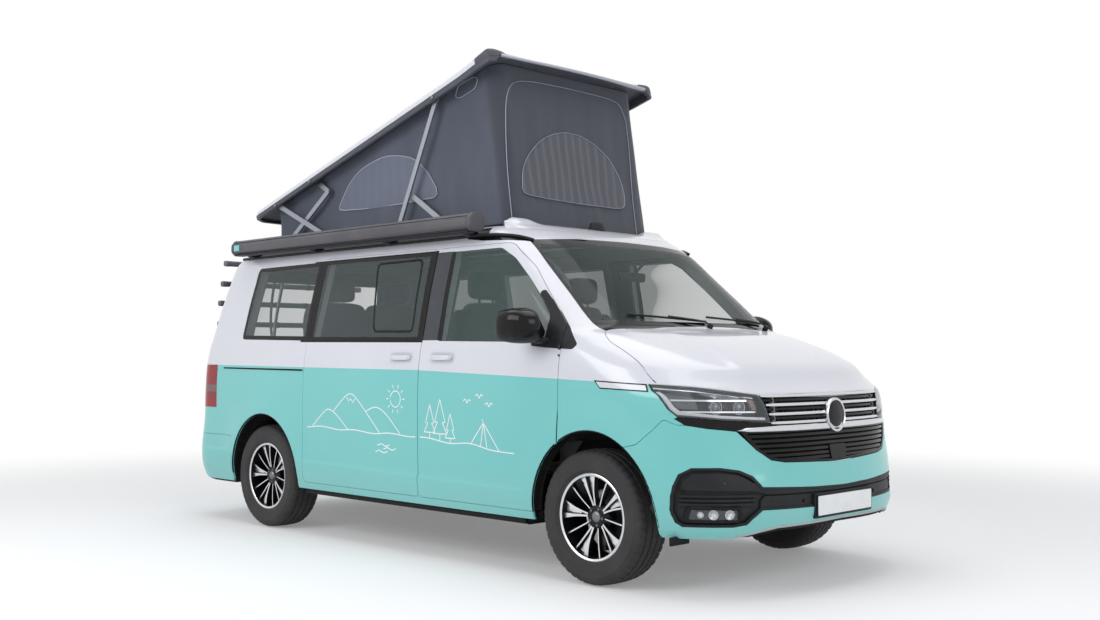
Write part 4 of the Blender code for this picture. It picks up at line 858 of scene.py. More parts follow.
tailSkin = panel(tailgateOutline, "front", "rear", 0.0, 0.010,
                 holes=[offset(rearWindow, 0.003)])
tint(tailSkin, whiteArea, "side", 1)
finish("tailgate_skin", tailSkin, "tailgate", [mintPaint, whitePaint])

bumper = gridMesh("front", 0.0, bounds(frontBumper), "side")
keepOnly(bumper, rounded(frontBumper, 0.01, 2), "side")
for hole in (offset(grilleOutline, 0.003), offset(lampOutline, 0.003), offset(flip(lampOutline), 0.003),
             pocketOutline, bumperFoot):
    openUp(bumper, hole, "front")
for zone in ("right", "left"):
    openUp(bumper, archLine(frontArch, 0.002), "side", zone)
openUp(bumper, [(-2, 0.1), (5, 0.1), (5, 0.291), (-2, 0.291)], "side")
edgeBand(bumper, 0.022)
finish("front_bumper_skin", bumper, "root", [mintPaint], ["bumper_front"])

tailBumper = gridMesh("rear", 0.0, bounds(rearBumper), "side")
keepOnly(tailBumper, rearBumper, "side")
edgeBand(tailBumper, 0.015)
finish("rear_bumper_skin", tailBumper, "root", [mintPaint])
print("panels made")


# Helpers for single details

def spotIn(view, u, v, w):
    a, b = viewAxes[view]
    spot = [w, w, w]
    spot[a], spot[b] = u, v
    return Vector(spot)


def slab(outline, view, low, high, bevel=0.0, segments=2):
    # an outline thickened between two depths, with softened edges
    mesh = bmesh.new()
    face = mesh.faces.new([mesh.verts.new(spotIn(view, u, v, low)) for u, v in outline])
    grown = bmesh.ops.extrude_face_region(mesh, geom=[face])["geom"]
    shift = spotIn(view, 0, 0, high - low)
    bmesh.ops.translate(mesh, vec=shift, verts=[g for g in grown if isinstance(g, bmesh.types.BMVert)])
    bmesh.ops.recalc_face_normals(mesh, faces=mesh.faces)
    if bevel:
        soften(mesh, bevel, segments)
    return mesh


def soften(mesh, width, segments=2, least=30):
    edges = [e for e in mesh.edges if len(e.link_faces) == 2 and e.calc_face_angle(0) > math.radians(least)]
    bmesh.ops.bevel(mesh, geom=edges, offset=width, offset_type="OFFSET", segments=segments, profile=0.5,
                    affect="EDGES", clamp_overlap=True, material=-1)


def block(low, high, bevel=0.0, segments=2):
    mesh = bmesh.new()
    bmesh.ops.create_cube(mesh, size=1)
    bmesh.ops.scale(mesh, vec=Vector(high) - Vector(low), verts=mesh.verts)
    bmesh.ops.translate(mesh, vec=(Vector(high) + Vector(low)) / 2, verts=mesh.verts)
    if bevel:
        soften(mesh, bevel, segments)
    return mesh


def lathe(profile, steps=32, place=None):
    # rows of (radius, height along Z) turned about Z
    mesh = bmesh.new()
    line = [mesh.verts.new((radius, 0, height)) for radius, height in profile]
    edges = [mesh.edges.new(pair) for pair in zip(line, line[1:])]
    bmesh.ops.spin(mesh, geom=line + edges, cent=(0, 0, 0), axis=(0, 0, 1), angle=2 * math.pi, steps=steps,
                   use_merge=True)
    bmesh.ops.remove_doubles(mesh, verts=mesh.verts, dist=0.00002)
    bmesh.ops.recalc_face_normals(mesh, faces=mesh.faces)
    if place:
        mesh.transform(place)
    return mesh


def pointing(spot, direction):
    # a placement whose Z looks along a direction
    return Matrix.Translation(spot) @ Vector(direction).to_track_quat("Z", "Y").to_matrix().to_4x4()


def tube(route, radius, sides=8, closed=False, flat=1.0):
    # a round bar along a route; flat squeezes it across the route's own plane
    mesh = bmesh.new()
    spots = [Vector(p) for p in route]
    count = len(spots)
    rings = []
    up = None
    for i, spot in enumerate(spots):
        ahead = spots[(i + 1) % count] if closed or i < count - 1 else spot
        back = spots[i - 1] if closed or i else spot
        along = (ahead - back).normalized()
        if up is None:
            up = Vector((0, 0, 1)) if abs(along.z) < 0.9 else Vector((1, 0, 0))
        across = along.cross(up).normalized()
        up = across.cross(along).normalized()
        ring = []
        for k in range(sides):
            a = 2 * math.pi * k / sides
            ring.append(mesh.verts.new(spot + across * radius * math.cos(a) + up * radius * flat
                                       * math.sin(a)))
        rings.append(ring)
    pairs = list(zip(rings, rings[1:])) + ([(rings[-1], rings[0])] if closed else [])
    for first, second in pairs:
        for k in range(sides):
            mesh.faces.new((first[k], first[(k + 1) % sides], second[(k + 1) % sides], second[k]))
    if not closed:
        mesh.faces.new(rings[0])
        mesh.faces.new(rings[-1])
    bmesh.ops.recalc_face_normals(mesh, faces=mesh.faces)
    return mesh


def curved(points, count=6):
    # a smooth route through points
    spots = [Vector(p) for p in points]
    found = []
    for i in range(len(spots) - 1):
        before = spots[max(0, i - 1)]
        start, end = spots[i], spots[i + 1]
        after = spots[min(len(spots) - 1, i + 2)]
        for k in range(count):
            t = k / count
            found.append(0.5 * (2 * start + (end - before) * t + (2 * before - 5 * start + 4 * end - after)
                                * t * t
                                + (3 * start - before - 3 * end + after) * t ** 3))
    return found + [spots[-1]]


def paintAll(mesh, index):
    for face in mesh.faces:
        face.material_index = index
    return mesh


def mirrored(mesh):
    # a copy of a mesh on the other side of the van
    twin = mesh.copy()
    bmesh.ops.scale(twin, vec=(-1, 1, 1), verts=twin.verts)
    bmesh.ops.reverse_faces(twin, faces=twin.faces)
    return twin


def bar(half, z, tall, tip=0.0):
    # a level strip across the front, narrower at its tips
    end = tall / 2 - tip
    return [(-half, z - end), (-half * 0.9, z - tall / 2), (half * 0.9, z - tall / 2), (half, z - end),
            (half, z + end), (half * 0.9, z + tall / 2), (-half * 0.9, z + tall / 2), (-half, z + end)]


# Front pocket with slats, fog lamps, parking sensors and the plate
pocket = paintAll(panel(offset(pocketOutline, 0.002), "front", "front", -0.024, 0.0), 0)
lip = panel(offset(pocketOutline, -0.001), "front", "front", -0.006, 0.012, 0.002,
            [offset(pocketOutline, -0.012)])
slats = [panel(rounded([(x0, z - 0.005), (x1, z - 0.005), (x1, z + 0.005), (x0, z + 0.005)], 0.003, 2),
               "front",
               "front", -0.010, 0.012)
         for z in (0.497, 0.477, 0.457) for x0, x1 in ((-0.898, -0.630), (0.630, 0.898))]
ledge = panel(bothHalves([(0.0, 0.507), (0.56, 0.523), (0.64, 0.560), (0.70, 0.596), (0.78, 0.606),
                          (0.86, 0.604),
                          (0.885, 0.565), (0.896, 0.527), (0.64, 0.520), (0.56, 0.500), (0.0, 0.492)]),
              "front", "front", -0.009, 0.014)
band = panel(bothHalves([(0.0, 0.484), (0.58, 0.492), (0.60, 0.470), (0.60, 0.436), (0.0, 0.426)]), "front",
             "front", -0.012, 0.010)
finish("front_pocket", merge(pocket, lip, *slats, ledge, band), "root", [satinBlack])

fogPaints = [glossBlack, chrome, lensGlass, satinBlack]
fog = []
for side in (-1, 1):
    frameOutline = [(side * u, v) for u, v in ((0.696, 0.370), (0.872, 0.372), (0.884, 0.388), (0.880, 0.441),
                                               (0.868, 0.447), (0.700, 0.444))]
    glassOutline = offset(frameOutline, -0.011)
    fog.append(panel(frameOutline, "front", "front", -0.008, 0.014, 0.002, [glassOutline]))
    fog.append(paintAll(panel(glassOutline, "front", "front", -0.022, 0.0), 3))
    fog.append(paintAll(panel(glassOutline, "front", "front", -0.012, 0.002), 2))
    for x, size in ((0.745, 0.021), (0.805, 0.021), (0.845, 0.014)):
        spot = onFront(side * x, 0.408, -0.021)
        normal = formNormal(turnAcross(side * x, 0.408), 0.408)
        cup = [(0.0, 0.001), (size * 0.7, 0.002), (size, 0.007), (size * 1.12, 0.007), (size * 1.12, 0.0)]
        fog.append(paintAll(lathe(cup, 20, pointing(spot, normal)), 1))
finish("fog_lamps", merge(*fog), "root", fogPaints)

sensors = []
for x, z in ((0.896, 0.530), (0.765, 0.560), (0.330, 0.455)):
    for side in (-1, 1):
        spot = onFront(side * x, z, -0.012)
        normal = formNormal(turnAcross(side * x, z), z)
        sensors.append(lathe([(0.0, 0.006), (0.007, 0.006), (0.009, 0.004), (0.0095, 0.0), (0.013, 0.0),
                              (0.014, -0.003)], 18, pointing(spot, normal)))
finish("parking_sensors", merge(*sensors), "root", [glossBlack])

holder = slab(rounded([(-0.268, 0.362), (0.268, 0.362), (0.268, 0.486), (-0.268, 0.486)], 0.010), "front",
              -0.906, -0.886, 0.002)
plate = slab(rounded([(-0.258, 0.370), (0.258, 0.370), (0.258, 0.478), (-0.258, 0.478)], 0.008), "front",
             -0.9135, -0.9065, 0.001)
plateEdge = slab(rounded([(-0.252, 0.376), (0.252, 0.376), (0.252, 0.472), (-0.252, 0.472)], 0.006), "front",
                 -0.9145, -0.9130, 0.0005)
platePaint = plainPlastic("plate_blank", (232, 233, 234), (214, 215, 216), 0.30, 300.0, 0.05)
finish("front_plate", merge(paintAll(holder, 0), paintAll(plate, 0), paintAll(plateEdge, 1)), "root",
       [satinBlack, platePaint])

# Lower lip of the front bumper
splitter = panel(bothHalves([(0.0, 0.356), (0.50, 0.348), (0.61, 0.330), (0.71, 0.300), (0.78, 0.296),
                             (0.78, 0.284), (0.66, 0.288), (0.56, 0.306), (0.48, 0.318), (0.0, 0.326)]),
                 "front",
                 "front", -0.012, 0.012)
strip = panel(bothHalves([(0.0, 0.352), (0.50, 0.344), (0.60, 0.328), (0.70, 0.300), (0.695, 0.293),
                          (0.595, 0.319),
                          (0.50, 0.335), (0.0, 0.343)]), "front", "front", 0.002, 0.010)
flaps = [block((side * 0.855 - 0.070, -0.530, 0.258), (side * 0.855 + 0.070, -0.515, 0.300), 0.004)
         for side in (-1, 1)]
finish("front_splitter", merge(paintAll(splitter, 0), paintAll(strip, 1), *[paintAll(f, 0) for f in flaps]),
       "root",
       [roughBlack, plainPlastic("lip_grey", (166, 174, 172), (180, 186, 184), 0.45)])

# Grille
grilleBed = paintAll(panel(offset(grilleOutline, 0.003), "front", "front", -0.030, 0.0), 0)
wingHalf = [(0.506, 0.840), (0.600, 0.843), (0.741, 0.851), (0.889, 0.868), (0.895, 0.862), (0.870, 0.833),
            (0.806, 0.818), (0.700, 0.806), (0.62, 0.806), (0.50, 0.806)]
grilleParts = [grilleBed]
grilleParts += [paintAll(panel(o, "front", "front", -0.003, 0.020), 1) for o in (wingHalf, flip(wingHalf))]
for z, half in ((0.970, 0.540), (0.926, 0.520), (0.881, 0.509), (0.838, 0.500)):
    grilleParts.append(paintAll(panel(bar(half, z, 0.011, 0.002), "front", "front", 0.001, 0.016), 2))
for z, half in ((0.948, 0.528), (0.904, 0.513), (0.860, 0.503)):
    grilleParts.append(paintAll(panel(bar(half, z, 0.010), "front", "front", -0.012, 0.014), 1))
for number in range(-12, 13):
    x = number * 0.040
    if abs(x) > 0.09:
        rib = [(x - 0.003, 0.836), (x + 0.003, 0.836), (x + 0.003, 0.972), (x - 0.003, 0.972)]
        grilleParts.append(paintAll(panel(rib, "front", "front", -0.018, 0.010, 0.0), 1))
chromeBar = bothHalves([(0.0, 0.799), (0.45, 0.801), (0.62, 0.802), (0.692, 0.806), (0.640, 0.815),
                        (0.45, 0.822),
                        (0.0, 0.823)])
grilleParts.append(paintAll(panel(chromeBar, "front", "front", 0.004, 0.022, 0.003), 2))
for z, half in ((0.776, 0.640), (0.752, 0.622), (0.728, 0.602), (0.704, 0.578), (0.681, 0.548),
                (0.660, 0.500)):
    grilleParts.append(paintAll(panel(bar(half, z, 0.013), "front", "front", -0.006, 0.018, 0.002), 1))
cover = rounded([(-0.068, 0.646), (0.068, 0.646), (0.074, 0.716), (-0.074, 0.716)], 0.010)
grilleParts.append(paintAll(panel(cover, "front", "front", 0.000, 0.020), 1))
grilleFrame = panel(offset(bothHalves([(0.0, 0.800), (0.668, 0.800), (0.600, 0.714), (0.525, 0.664),
                                       (0.440, 0.650),
                                       (0.0, 0.634)]), 0.0), "front", "front", -0.002, 0.020, 0.002,
                    [bothHalves([(0.0, 0.792), (0.640, 0.792), (0.588, 0.720), (0.518, 0.673), (0.438, 0.659),
                                 (0.0, 0.643)])])
grilleParts.append(paintAll(grilleFrame, 1))
emblemSpot = onFront(0.0, 0.863, -0.006)
emblemPlace = pointing(emblemSpot, (0, -1, 0.06))
grilleParts.append(paintAll(lathe([(0.0, 0.016), (0.030, 0.0155), (0.060, 0.013), (0.073, 0.010)], 48,
                                  emblemPlace), 1))
grilleParts.append(paintAll(lathe([(0.073, 0.010), (0.0745, 0.017), (0.080, 0.020), (0.086, 0.017),
                                   (0.088, 0.010), (0.088, -0.020)], 48, emblemPlace), 2))
finish("grille_assembly", merge(*grilleParts), "root", [roughBlack, glossBlack, chrome],
       ["grille"])

# Headlamps: housing, two modules, light guides and a clear lens
lightGuide = Paint("light_guide", (238, 240, 242), 0.25, Emission_Strength=0.0)
lightGuide.feed("Base Color", lightGuide.blend(lightGuide.grain(60.0, 2.0) * 0.5, (240, 241, 243),
                                               (214, 217, 222)))
amber = Paint("amber_reflector", (150, 92, 62), 0.25)
amber.feed("Base Color", amber.blend(amber.grain(200.0, 1.0) * 0.6, (122, 88, 72), (94, 66, 54)))
projector = Paint("projector_lens", (96, 104, 116), 0.03, 0.3, Coat_Weight=1.0)
projector.feed("Roughness", 0.03 + projector.grain(40.0, 2.0) * 0.03)


def lampPanel(outline, proud, depth, index, holes=(), chamfer=0.001):
    return paintAll(panel(outline, "front", "front", proud, depth, chamfer, holes), index)


def headlamp(side):
    inner = []
    inner.append(lampPanel(offset(lampOutline, 0.004), -0.062, 0.0, 0))
    inner.append(lampPanel(lampOutline, -0.005, 0.055, 0, [offset(lampOutline, -0.006)], 0.0))
    # bright strip along the top, light guide along the foot and up the outer end
    inner.append(lampPanel([(0.575, 0.968), (0.680, 0.985), (0.800, 1.003), (0.905, 1.014), (0.905, 1.003),
                            (0.800, 0.990), (0.680, 0.972), (0.575, 0.956)], -0.016, 0.030, 1))
    inner.append(lampPanel([(0.522, 0.853), (0.600, 0.857), (0.741, 0.865), (0.880, 0.882), (0.898, 0.910),
                            (0.908, 0.955), (0.911, 0.990), (0.900, 0.990), (0.895, 0.955), (0.886, 0.918),
                            (0.872, 0.895), (0.741, 0.877), (0.600, 0.868), (0.526, 0.864)], -0.012, 0.020,
                           2))
    inner.append(lampPanel([(0.548, 0.900), (0.575, 0.900), (0.590, 0.950), (0.560, 0.948)], -0.030, 0.015,
                           3))
    for z, x0, x1 in ((0.948, 0.600, 0.880), (0.893, 0.560, 0.870)):
        inner.append(lampPanel([(x0, z - 0.005), (x1, z - 0.001), (x1, z + 0.006), (x0, z + 0.003)],
                               -0.026, 0.030, 1))
    for x, size in ((0.650, 0.030), (0.760, 0.030)):
        z = 0.921
        spot = onFront(x, z, -0.050)
        facing = Vector((0.28, -0.95, 0.0)).normalized()
        place = pointing(spot, facing)
        inner.append(paintAll(lathe([(0.0, 0.030), (size * 0.5, 0.027), (size * 0.82, 0.019),
                                     (size * 0.93, 0.010)],
                                    28, place), 4))
        inner.append(paintAll(lathe([(size * 0.93, 0.010), (size, 0.016), (size * 1.16, 0.016),
                                     (size * 1.22, 0.004), (size * 1.3, -0.012)], 28, place), 1))
    inner.append(lampPanel([(0.800, 0.905), (0.872, 0.912), (0.884, 0.985), (0.805, 0.978)], -0.040, 0.014,
                           5))
    lens = panel(lampOutline, "front", "front", 0.001, 0.004, 0.0015)
    housing = merge(*inner)
    if side < 0:
        housing, lens = mirrored(housing), mirrored(lens)
    name = "left" if side > 0 else "right"
    finish("headlamp_inside_" + name, housing, "root",
           [satinBlack, chrome, lightGuide.material, amber.material, projector.material, darkChrome])
    finish("headlamp_lens_" + name, lens, "root", [lensGlass], ["headlamp_" + name])


for side in (-1, 1):
    headlamp(side)

# Tail lamps
redLens = Paint("red_lens_plastic", (150, 14, 20), 0.16, Coat_Weight=0.2, Specular_IOR_Level=0.3)
x, y, z = redLens.axes()
redLens.feed("Base Color", redLens.blend((abs((z * 330.0).sine()) * 0.5).clip(), (158, 14, 20), (96, 6, 10)))
redLens.bump(abs((z * 330.0).sine()), 0.10, 0.001)
smokedLens = plainPlastic("smoked_lens", (120, 96, 100), (150, 130, 132), 0.10, 200.0, 0.05)
for side in (-1, 1):
    outline = tailLamp if side > 0 else flip(tailLamp)
    tail = gridMesh("rear", 0.001, bounds(outline), "front")
    keepOnly(tail, offset(lampSide, -0.003), "side")
    keepOnly(tail, outline, "front")
    tint(tail, [(3.5, 0.905), (4.4, 0.905), (4.4, 0.952), (3.5, 0.952)], "side", 1)
    tint(tail, [(3.5, 0.870), (4.4, 0.870), (4.4, 0.877), (3.5, 0.877)], "side", 2)
    tint(tail, [(3.5, 0.990), (4.4, 0.990), (4.4, 0.997), (3.5, 0.997)], "side", 2)
    edgeBand(tail, 0.016, 0.002)
    name = "left" if side > 0 else "right"
    finish("tail_lamp_lens_" + name, tail, "root", [redLens.material, smokedLens, darkChrome],
           ["tail_lamp_" + name])
print("front and lamps made")


# Side details
def sidePatch(outline, side, proud, depth, chamfer=0.001, holes=()):
    return panel(outline, "side", "right" if side < 0 else "left", proud, depth, chamfer, holes)


def ribbon(points, side, width, proud=0.0007, spacing=0.012):
    # a painted line along the side: points in side view
    line = [Vector(p) for p in points]
    marks = []
    for a, b in zip(line, line[1:]):
        count = max(1, math.ceil((b - a).length / spacing))
        marks += [a.lerp(b, k / count) for k in range(count)]
    marks.append(line[-1])
    mesh = bmesh.new()
    pairs = []
    for i, mark in enumerate(marks):
        along = (marks[min(i + 1, len(marks) - 1)] - marks[max(i - 1, 0)]).normalized()
        across = Vector((-along.y, along.x)) * width / 2
        pairs.append([mesh.verts.new(onSide(*(mark + across), side, proud)),
                      mesh.verts.new(onSide(*(mark - across), side, proud))])
    for (a, b), (c, d) in zip(pairs, pairs[1:]):
        mesh.faces.new((a, b, d, c))
    mesh.normal_update()
    for face in mesh.faces:
        if face.normal.x * side < 0:
            face.normal_flip()
    return mesh


def smoothLine(points, count=8):
    return [tuple(p.xy) for p in curved([(u, v, 0) for u, v in points], count)]


# Badge strips behind the headlamps, left blank
for side, name in ((-1, "right"), (1, "left")):
    stripOutline = [(-0.068, 1.036), (-0.373, 1.023), (-0.388, 0.995), (-0.101, 1.005)]
    strip = merge(paintAll(sidePatch(offset(stripOutline, 0.004), side, 0.0025, 0.004), 0),
                  paintAll(sidePatch(offset(stripOutline, -0.002), side, 0.0045, 0.003), 1))
    finish("badge_strip_" + name, strip, "root", [glossBlack, whitePaint])

# Door handles, each over a flat plate painted a darker white: painted shade of the recess behind the grip
def handle(side, y0, y1, z, tall):
    # the plate lies flat on the skin; its darker white (index 1) is painted shade of the dish behind the grip
    plate = sidePatch(rounded([(y0 - 0.018, z - 0.034), (y1 + 0.018, z - 0.034), (y1 + 0.018, z + 0.030),
                               (y0 - 0.018, z + 0.030)], 0.028), side, 0.0006, 0.0, 0.0)
    grip = sidePatch(rounded([(y0, z - tall / 2), (y1, z - tall / 2), (y1, z + tall / 2), (y0, z + tall / 2)],
                             0.012), side, 0.020, 0.0)
    for vert in grip.verts:
        t = min(1.0, max(0.0, (vert.co.y - y0) / (y1 - y0)))
        vert.co.x += side * (0.016 * math.sin(math.pi * t) ** 0.5 - 0.010 - 120 * (vert.co.z - z) ** 2 * 0.2)
    edgeBand(grip, 0.012, 0.003)
    posts = []
    for y in (y0 + 0.014, y1 - 0.014):
        spot = onSide(y, z, side, 0.0)
        posts.append(block((min(spot.x, spot.x + side * 0.022), y - 0.010, z - 0.010),
                           (max(spot.x, spot.x + side * 0.022), y + 0.010, z + 0.010), 0.003))
    return merge(paintAll(grip, 0), paintAll(plate, 1), *posts)


# a darker white for the handle plates: painted shade of the handle recesses
wellPaintedShade = paintWork("handle_well_painted_shade", (196, 197, 204), (188, 189, 198), 0.32)
finish("handle_right", handle(-1, 1.045, 1.225, 1.152, 0.026), "front_door_right",
       [whitePaint, wellPaintedShade])
finish("handle_left", handle(1, 1.045, 1.225, 1.152, 0.026), "front_door_left",
       [whitePaint, wellPaintedShade])
finish("handle_sliding", handle(-1, 1.420, 1.600, 1.152, 0.026), "root",
       [whitePaint, wellPaintedShade])

# Sliding door: the pane that slides within its window, the rail in the side and the rail's cover
paneLine = rounded([(1.442, 1.300), (1.832, 1.305), (1.905, 1.740), (1.455, 1.745)], 0.045, 6)
slidePane = sidePatch(paneLine, -1, 0.0008, 0.003, 0.001, [offset(paneLine, -0.012)])
finish("sliding_pane_frame", slidePane, "root", [sealBlack])
trackOutline = rounded([(2.525, 1.060), (3.515, 1.068), (3.515, 1.080), (2.525, 1.074)], 0.005, 3)
track = merge(paintAll(sidePatch(trackOutline, -1, 0.0006, 0.0), 0),
              paintAll(sidePatch(offset(trackOutline, 0.004), -1, 0.0022, 0.002, 0.001, [trackOutline]), 1))
finish("door_rail", track, "root", [sealBlack, mintPaint])

# Mirrors
def mirrorHousing():
    centre = Vector((1.0665, 0.362, 1.322))
    size = (0.0805, 0.124, 0.100)
    mesh = bmesh.new()
    rows, columns = 18, 36
    grid = []
    for i in range(rows + 1):
        lift = math.pi * (i / rows - 0.5)
        ring = []
        for k in range(columns):
            a = 2 * math.pi * k / columns
            shape = 0.62
            c, s = math.cos(lift), math.sin(lift)
            x = math.copysign(abs(math.cos(a)) ** shape, math.cos(a)) * abs(c) ** shape
            y = math.copysign(abs(math.sin(a)) ** shape, math.sin(a)) * abs(c) ** shape
            z = math.copysign(abs(s) ** shape, s)
            # the front is drawn in, the outer end is lower and slimmer, and the back is flat;
            # below, the inner side runs out towards the foot
            pinch = 1 - 0.30 * max(0.0, -y) ** 2
            slim = 1 - 0.16 * (x + 1) / 2
            wide = 1 + 0.85 * max(0.0, -x) * step(-z, -0.55, 0.55)
            spot = Vector((x * size[0] * pinch * wide, min(y, 0.72) * size[1], z * size[2] * slim * pinch))
            spot.y += 0.030 * (x + 1) / 2
            ring.append(mesh.verts.new(centre + spot))
        grid.append(ring)
    for first, second in zip(grid, grid[1:]):
        for k in range(columns):
            mesh.faces.new((first[k], first[(k + 1) % columns], second[(k + 1) % columns], second[k]))
    bmesh.ops.remove_doubles(mesh, verts=mesh.verts, dist=0.0005)
    bmesh.ops.recalc_face_normals(mesh, faces=mesh.faces)
    # a seam between cap and foot
    for face in mesh.faces:
        face.material_index = 1 if face.calc_center_median().z < 1.262 else 0
    back = centre.y + 0.72 * size[1]
    pane = slab(rounded([(1.008, 1.258), (1.122, 1.262), (1.116, 1.392), (1.012, 1.396)], 0.024), "front",
                back + 0.012, back + 0.0155, 0.001)
    for vert in pane.verts:
        vert.co.y += 0.012 * (vert.co.x - 1.06) / 0.08
    bezel = slab(rounded([(1.000, 1.248), (1.130, 1.252), (1.124, 1.402), (1.004, 1.404)], 0.028), "front",
                 back - 0.012, back + 0.012, 0.002)
    for vert in bezel.verts:
        vert.co.y += 0.012 * (vert.co.x - 1.06) / 0.08
    arm = tube(curved([(0.905, 0.326, 1.243), (0.950, 0.330, 1.246), (0.995, 0.340, 1.254),
                       (1.030, 0.350, 1.270)], 5), 0.040, 16, flat=0.5)
    return merge(mesh, paintAll(bezel, 1), paintAll(pane, 2), paintAll(arm, 1))


mirrorSilver = metal("mirror_silver", (196, 202, 208), 0.03)
for side, name in ((-1, "right"), (1, "left")):
    housing = mirrorHousing()
    if side < 0:
        twin = mirrored(housing)
        housing.free()
        housing = twin
    finish("mirror_housing_" + name, housing, "front_door_" + name,
           [glossBlack, satinBlack, mirrorSilver], ["mirror_" + name])

# Wipers
wipers = []
for pivot, tipX, zTip in ((0.600, 0.060, 1.372), (-0.020, -0.560, 1.376)):
    base = onFront(pivot, 1.3135, 0.012)
    elbow = onFront(pivot - 0.03, 1.336, 0.020)
    end = onFront((pivot + tipX) / 2, (1.352 + zTip) / 2, 0.016)
    wipers.append(tube(curved([base, elbow, end], 6), 0.0065, 8, flat=0.6))
    wipers.append(lathe([(0.0, 0.016), (0.012, 0.014), (0.016, 0.006), (0.016, -0.010)], 18,
                        pointing(base, (0, -0.5, 0.85))))
    blade = [onFront(pivot + 0.02 + (tipX - pivot - 0.02) * k / 16, 1.345 + (zTip - 1.345) * k / 16, 0.008)
             for k in range(17)]
    wipers.append(tube(blade, 0.0075, 8, flat=0.8))
finish("wipers", merge(*wipers), "root", [satinBlack])
# Gutter rails along the roof, sill covers and arch linings
for side, name in ((-1, "right"), (1, "left")):
    bend = [(0.640, 1.806), (0.670, 1.817), (0.710, 1.828), (0.750, 1.8355), (0.800, 1.842), (0.850, 1.847),
            (0.900, 1.850)]
    route = [onSide(u, v, side, 0.004) for u, v in bend + [(0.960 + 0.06 * k, 1.852) for k in range(45)]]
    finish("gutter_rail_" + name, tube(route, 0.013, 10, flat=0.7), "root", [satinBlack])
    low = onSide(1.5, 0.31, side).x
    sill = slab([(0.46, 0.268), (2.52, 0.268), (2.50, 0.300), (0.48, 0.300)], "side",
                min(low - side * 0.045, low - side * 0.012), max(low - side * 0.045, low - side * 0.012),
                0.004)
    near, far = sorted((side * 0.640, side * 0.900))
    flap = block((near, 0.462, 0.262), (far, 0.474, 0.520), 0.004)
    finish("sill_foot_" + name, merge(sill, flap), "root", [roughBlack])
    lips = []
    for arch, low, high in ((frontArch, -9.0, 0.193), (rearArch, -9.0, 9.0), (frontArch, 0.207, 9.0)):
        inner = archLine(arch, 0.003, 0.30, 36)
        route = [onSide(u, v, side, -0.004) for u, v in inner[1:-1] if v > 0.31 and low < u < high]
        lips.append(tube(route, 0.005, 6))
    finish("door_arch_edge_" + name, lips.pop(), "front_door_" + name, [sealBlack])
    finish("arch_edges_" + name, merge(*lips), "root", [sealBlack])

# A line drawing on the right side: hills, pines, a tent, birds and a low sun
linePaint = paintWork("line_white", (240, 241, 243), (232, 234, 238), 0.30)
horizon = smoothLine([(2.46, 0.700), (2.30, 0.712), (2.12, 0.698), (1.95, 0.704), (1.76, 0.690),
                      (1.60, 0.700),
                      (1.42, 0.688), (1.25, 0.690), (1.05, 0.668), (0.88, 0.676), (0.70, 0.648),
                      (0.52, 0.640)])
hills = [smoothLine([(2.40, 0.712), (2.28, 0.800), (2.22, 0.822), (2.14, 0.790), (2.02, 0.704)]),
         smoothLine([(2.18, 0.806), (2.06, 0.900), (1.99, 0.925), (1.92, 0.890), (1.78, 0.770),
                     (1.70, 0.698)]),
         [(2.035, 0.905), (2.010, 0.880), (1.990, 0.896), (1.968, 0.872), (1.945, 0.898)],
         smoothLine([(1.84, 0.820), (1.74, 0.850), (1.64, 0.815), (1.50, 0.700)])]
sun = [(1.545 + 0.048 * math.cos(0.2 + 5.9 * k / 30), 0.905 + 0.048 * math.sin(0.2 + 5.9 * k / 30))
       for k in range(31)]
rays = [[(1.545 + r * math.cos(a), 0.905 + r * math.sin(a)) for r in (0.066, 0.088)]
        for a in [math.pi * k / 5 for k in range(10)]]
pines = []
for y, z, tall in ((1.225, 0.692, 0.190), (1.135, 0.680, 0.235), (1.045, 0.670, 0.165)):
    wide = tall * 0.26
    pines.append([(y, z), (y, z + tall * 0.16)])
    pines.append([(y + wide, z + tall * 0.16), (y - wide, z + tall * 0.16),
                  (y - wide * 0.35, z + tall * 0.44),
                  (y - wide * 0.75, z + tall * 0.44), (y, z + tall), (y + wide * 0.75, z + tall * 0.44),
                  (y + wide * 0.35, z + tall * 0.44), (y + wide, z + tall * 0.16)])
tent = [[(0.865, 0.680), (0.765, 0.795), (0.640, 0.645)], [(0.765, 0.795), (0.775, 0.815)],
        [(0.765, 0.795), (0.738, 0.660)], [(0.765, 0.795), (0.790, 0.662)]]
birds = [smoothLine([(y - 0.030, z + 0.012), (y - 0.014, z + 0.018), (y, z), (y + 0.014, z + 0.020),
                     (y + 0.032, z + 0.010)], 5) for y, z in ((0.90, 0.900), (0.80, 0.930), (0.72, 0.885))]
waves = [smoothLine([(y, 0.622 - 0.02 * n), (y - 0.04, 0.632 - 0.02 * n), (y - 0.08, 0.620 - 0.02 * n),
                     (y - 0.12, 0.630 - 0.02 * n)], 5) for n, y in enumerate((1.72, 1.66, 1.74))]


def splitAt(line, y, gap):
    # the part of a line before a seam and the part behind it
    fore = [p for p in line if p[0] < y - gap]
    aft = [p for p in line if p[0] > y + gap]
    return fore, aft


doorLines, sideLines = [], []
for line in [horizon, sun] + hills + rays + pines + tent + birds + waves:
    fore, aft = splitAt(line, 1.3385, 0.006)
    for part, target in ((fore, doorLines), (aft, sideLines)):
        if len(part) > 1:
            target.append(ribbon(part, -1, 0.0062))
finish("line_drawing_door", merge(*doorLines), "front_door_right", [linePaint])
finish("line_drawing_side", merge(*sideLines), "root", [linePaint])
print("side details made")


